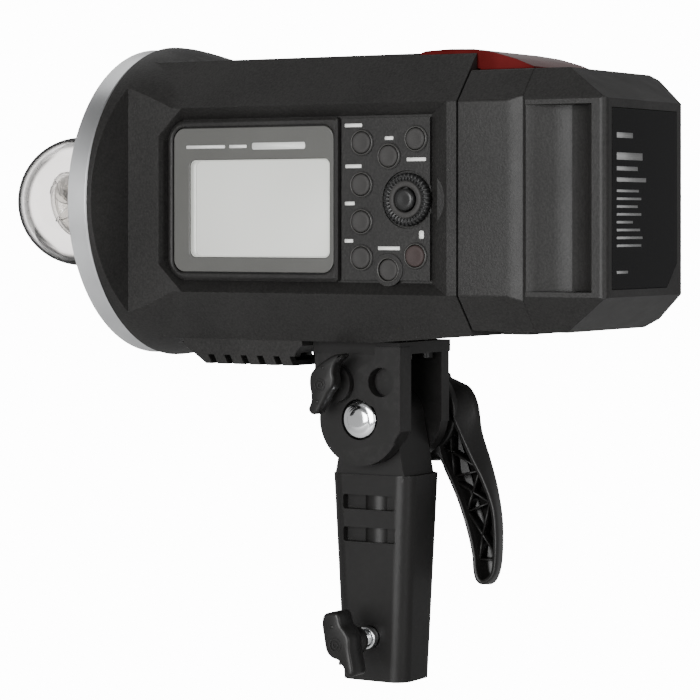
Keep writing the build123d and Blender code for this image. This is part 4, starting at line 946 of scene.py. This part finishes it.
# ------------------------------------------------------------------ lock lever
near_o = [(6.0, 114.8), (9.5, 112.6), (12.6, 108.6), (14.9, 103.2), (19.3, 94.4), (24.4, 84.8), (29.3, 76.4), (33.7, 65.8),
          (35.0, 54.9), (34.9, 45.2), (34.0, 39.4), (31.4, 36.2), (28.2, 34.9), (25.6, 36.6), (24.5, 40.6), (23.9, 47.0),
          (21.4, 56.6), (17.1, 68.2), (12.2, 77.8), (9.4, 82.8), (3.0, 85.0)]
far_o = [(6.0, 115.6), (10.5, 114.8), (14.2, 113.4), (19.0, 111.0), (22.4, 104.6), (24.2, 93.8), (28.0, 83.0), (31.2, 72.2),
         (33.3, 60.3), (33.5, 49.5), (32.7, 41.0), (30.4, 35.6), (27.0, 33.8), (24.4, 36.0), (23.4, 40.0), (22.8, 46.5),
         (20.3, 56.0), (16.0, 67.4), (11.2, 76.8), (8.2, 81.8), (2.0, 84.4)]
web_o = [(9.0, 104.0), (10.6, 104.6), (12.4, 103.6), (13.8, 101.6), (17.9, 93.7), (23.0, 84.1), (27.9, 75.8), (32.2, 65.4),
         (33.5, 54.9), (33.4, 45.4), (32.7, 40.2), (30.8, 37.7), (28.4, 36.7), (26.8, 38.0), (26.0, 41.0), (25.3, 47.2),
         (22.8, 57.0), (18.4, 68.8), (13.6, 78.4), (10.9, 83.4), (9.4, 90.0)]


def at_mm(pts):
    return [(y * MM, z * MM) for y, z in pts]


lx0, lx1 = -0.0355, -0.0250
o_n, o_f, o_w = (smooth_outline(at_mm(q), 5) for q in (near_o, far_o, web_o))
mixp = lambda p, q, f: [(a_[0] * (1 - f) + b_[0] * f, a_[1] * (1 - f) + b_[1] * f) for a_, b_ in zip(p, q)]
shell_rings = [
    (lx0, inset(o_f, 0.0022)), (lx0 + 0.0002, inset(o_f, 0.0014)), (lx0 + 0.0007, inset(o_f, 0.0006)),
    (lx0 + 0.0016, inset(o_f, 0.0001)), (lx0 + 0.0034, mixp(o_f, o_n, 0.25)), (lx0 + 0.0068, mixp(o_f, o_n, 0.66)),
    (lx1 - 0.0004, o_n), (lx1 - 0.0001, inset(o_n, 0.0002)), (lx1, inset(o_n, 0.0005)),
    (lx1, o_w), (lx1 - 0.0004, inset(o_w, 0.0001)), (lx0 + 0.0030, inset(o_w, 0.0006)), (lx0 + 0.0022, inset(o_w, 0.0012)),
]
shell = loops("lever_shell", shell_rings, MATS["knob_plastic"])
parts = [shell]
RIBS = [((12.8, 101.5), (13.2, 85.8)), ((10.4, 86.8), (14.6, 85.8)), ((13.6, 86.0), (26.0, 79.6)), ((13.6, 85.8), (14.4, 76.8)),
        ((14.6, 76.2), (26.4, 79.2)), ((26.0, 79.6), (23.1, 71.2)), ((23.1, 71.2), (20.4, 63.0)), ((15.6, 74.2), (30.2, 67.0)),
        ((30.4, 66.8), (20.8, 62.8)), ((30.4, 66.8), (27.1, 53.0)), ((27.1, 53.0), (25.9, 43.6)), ((20.8, 62.6), (33.2, 46.4)),
        ((25.9, 44.4), (33.2, 44.4))]
for (a_, b_) in RIBS:
    va, vb = Vector(a_) * MM, Vector(b_) * MM
    d = (vb - va).normalized()
    nrm = Vector((-d.y, d.x)) * 0.00042
    q = [tuple(va + nrm), tuple(vb + nrm), tuple(vb - nrm), tuple(va - nrm)]
    qt = [tuple(va + nrm * 0.6), tuple(vb + nrm * 0.6), tuple(vb - nrm * 0.6), tuple(va - nrm * 0.6)]
    parts.append(loops("rib", [(lx0 + 0.0021, q), (lx0 + 0.0074, q), (lx0 + 0.0078, qt)], MATS["knob_plastic"]))
# round hub with a domed outer cap
hub = [(lx0 - 0.0, 0.0060), (lx0 + 0.0001, 0.0120), (lx0 + 0.0008, 0.0146), (lx0 + 0.0022, 0.0160), (lx0 + 0.0045, 0.0165),
       (lx1 - 0.0006, 0.0166), (lx1 - 0.0001, 0.0163), (lx1, 0.0158), (lx1, 0.0086), (lx1 - 0.003, 0.0086)]
parts.append(loops("hub", [(x, circle(0, PIVOT, r, 72)) for x, r in hub], MATS["knob_plastic"], cap_last=True))
for r_ in (0.0024, 0.0052):
    parts.append(frame_plate("hub_ring", lx0 - 0.0, lx0 + 0.0004, circle(0, PIVOT, r_ + 0.0006, 48), circle(0, PIVOT, r_, 48),
                             MATS["knob_plastic"]))
lever = join("clamp_lever", parts)
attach(lever, "lock_lever")
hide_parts("lock_lever")

# ------------------------------------------------------------------ tilt bolt
lo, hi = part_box("tilt_bolt")
BX = hi[0]
prof = [(BX - 0.0036, 0.0073), (BX - 0.0022, 0.0073), (BX - 0.0017, 0.0071), (BX - 0.0013, 0.0066), (BX - 0.0010, 0.0056),
        (BX - 0.0009, 0.0050), (BX - 0.0006, 0.0047), (BX - 0.0002, 0.0036), (BX, 0.0020), (BX, 0.0004)]
head_b = loops("bolt_head", [(x, circle(0, PIVOT, r, 72)) for x, r in prof], MATS["chrome"])
shank = loops("bolt_shank", [(lo[0], circle(0, PIVOT, 0.0039, 48)), (lo[0] + 0.0004, circle(0, PIVOT, 0.0040, 48)),
                             (BX - 0.0034, circle(0, PIVOT, 0.0040, 48))], MATS["chrome"])
bolt = join("pivot_bolt", [head_b, shank])
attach(bolt, "head")
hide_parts("tilt_bolt")

# ------------------------------------------------------------------ rear label
lo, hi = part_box("battery_label")
YR = hi[1]
print_bars = []
rows = [(22.5, 13, 1.9), (15.0, 21, 2.6), (10.6, 17, 1.5), (6.6, 24, 1.5), (2.6, 18, 0.9), (-0.2, 20, 0.9), (-3.0, 17, 0.9),
        (-5.8, 20, 0.9), (-8.6, 13, 0.9), (-11.4, 19, 0.9), (-14.2, 21, 0.9), (-17.0, 20, 0.9), (-26.5, 9, 1.0)]
for cz, w, h in rows:
    x1_ = 0.0345
    verts = []
    for y_ in (YR - 0.00003, YR + 0.00004):
        verts += [(x1_ - w * MM, y_, zz(cz - h / 2)), (x1_, y_, zz(cz - h / 2)), (x1_, y_, zz(cz + h / 2)), (x1_ - w * MM, y_, zz(cz + h / 2))]
    faces = [(0, 1, 2, 3), (4, 5, 6, 7), (0, 1, 5, 4), (1, 2, 6, 5), (2, 3, 7, 6), (3, 0, 4, 7)]
    print_bars.append(poly("line", verts, faces, MATS["print_dim"]))
lp_ = join("label_print", print_bars)
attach(lp_, "battery")
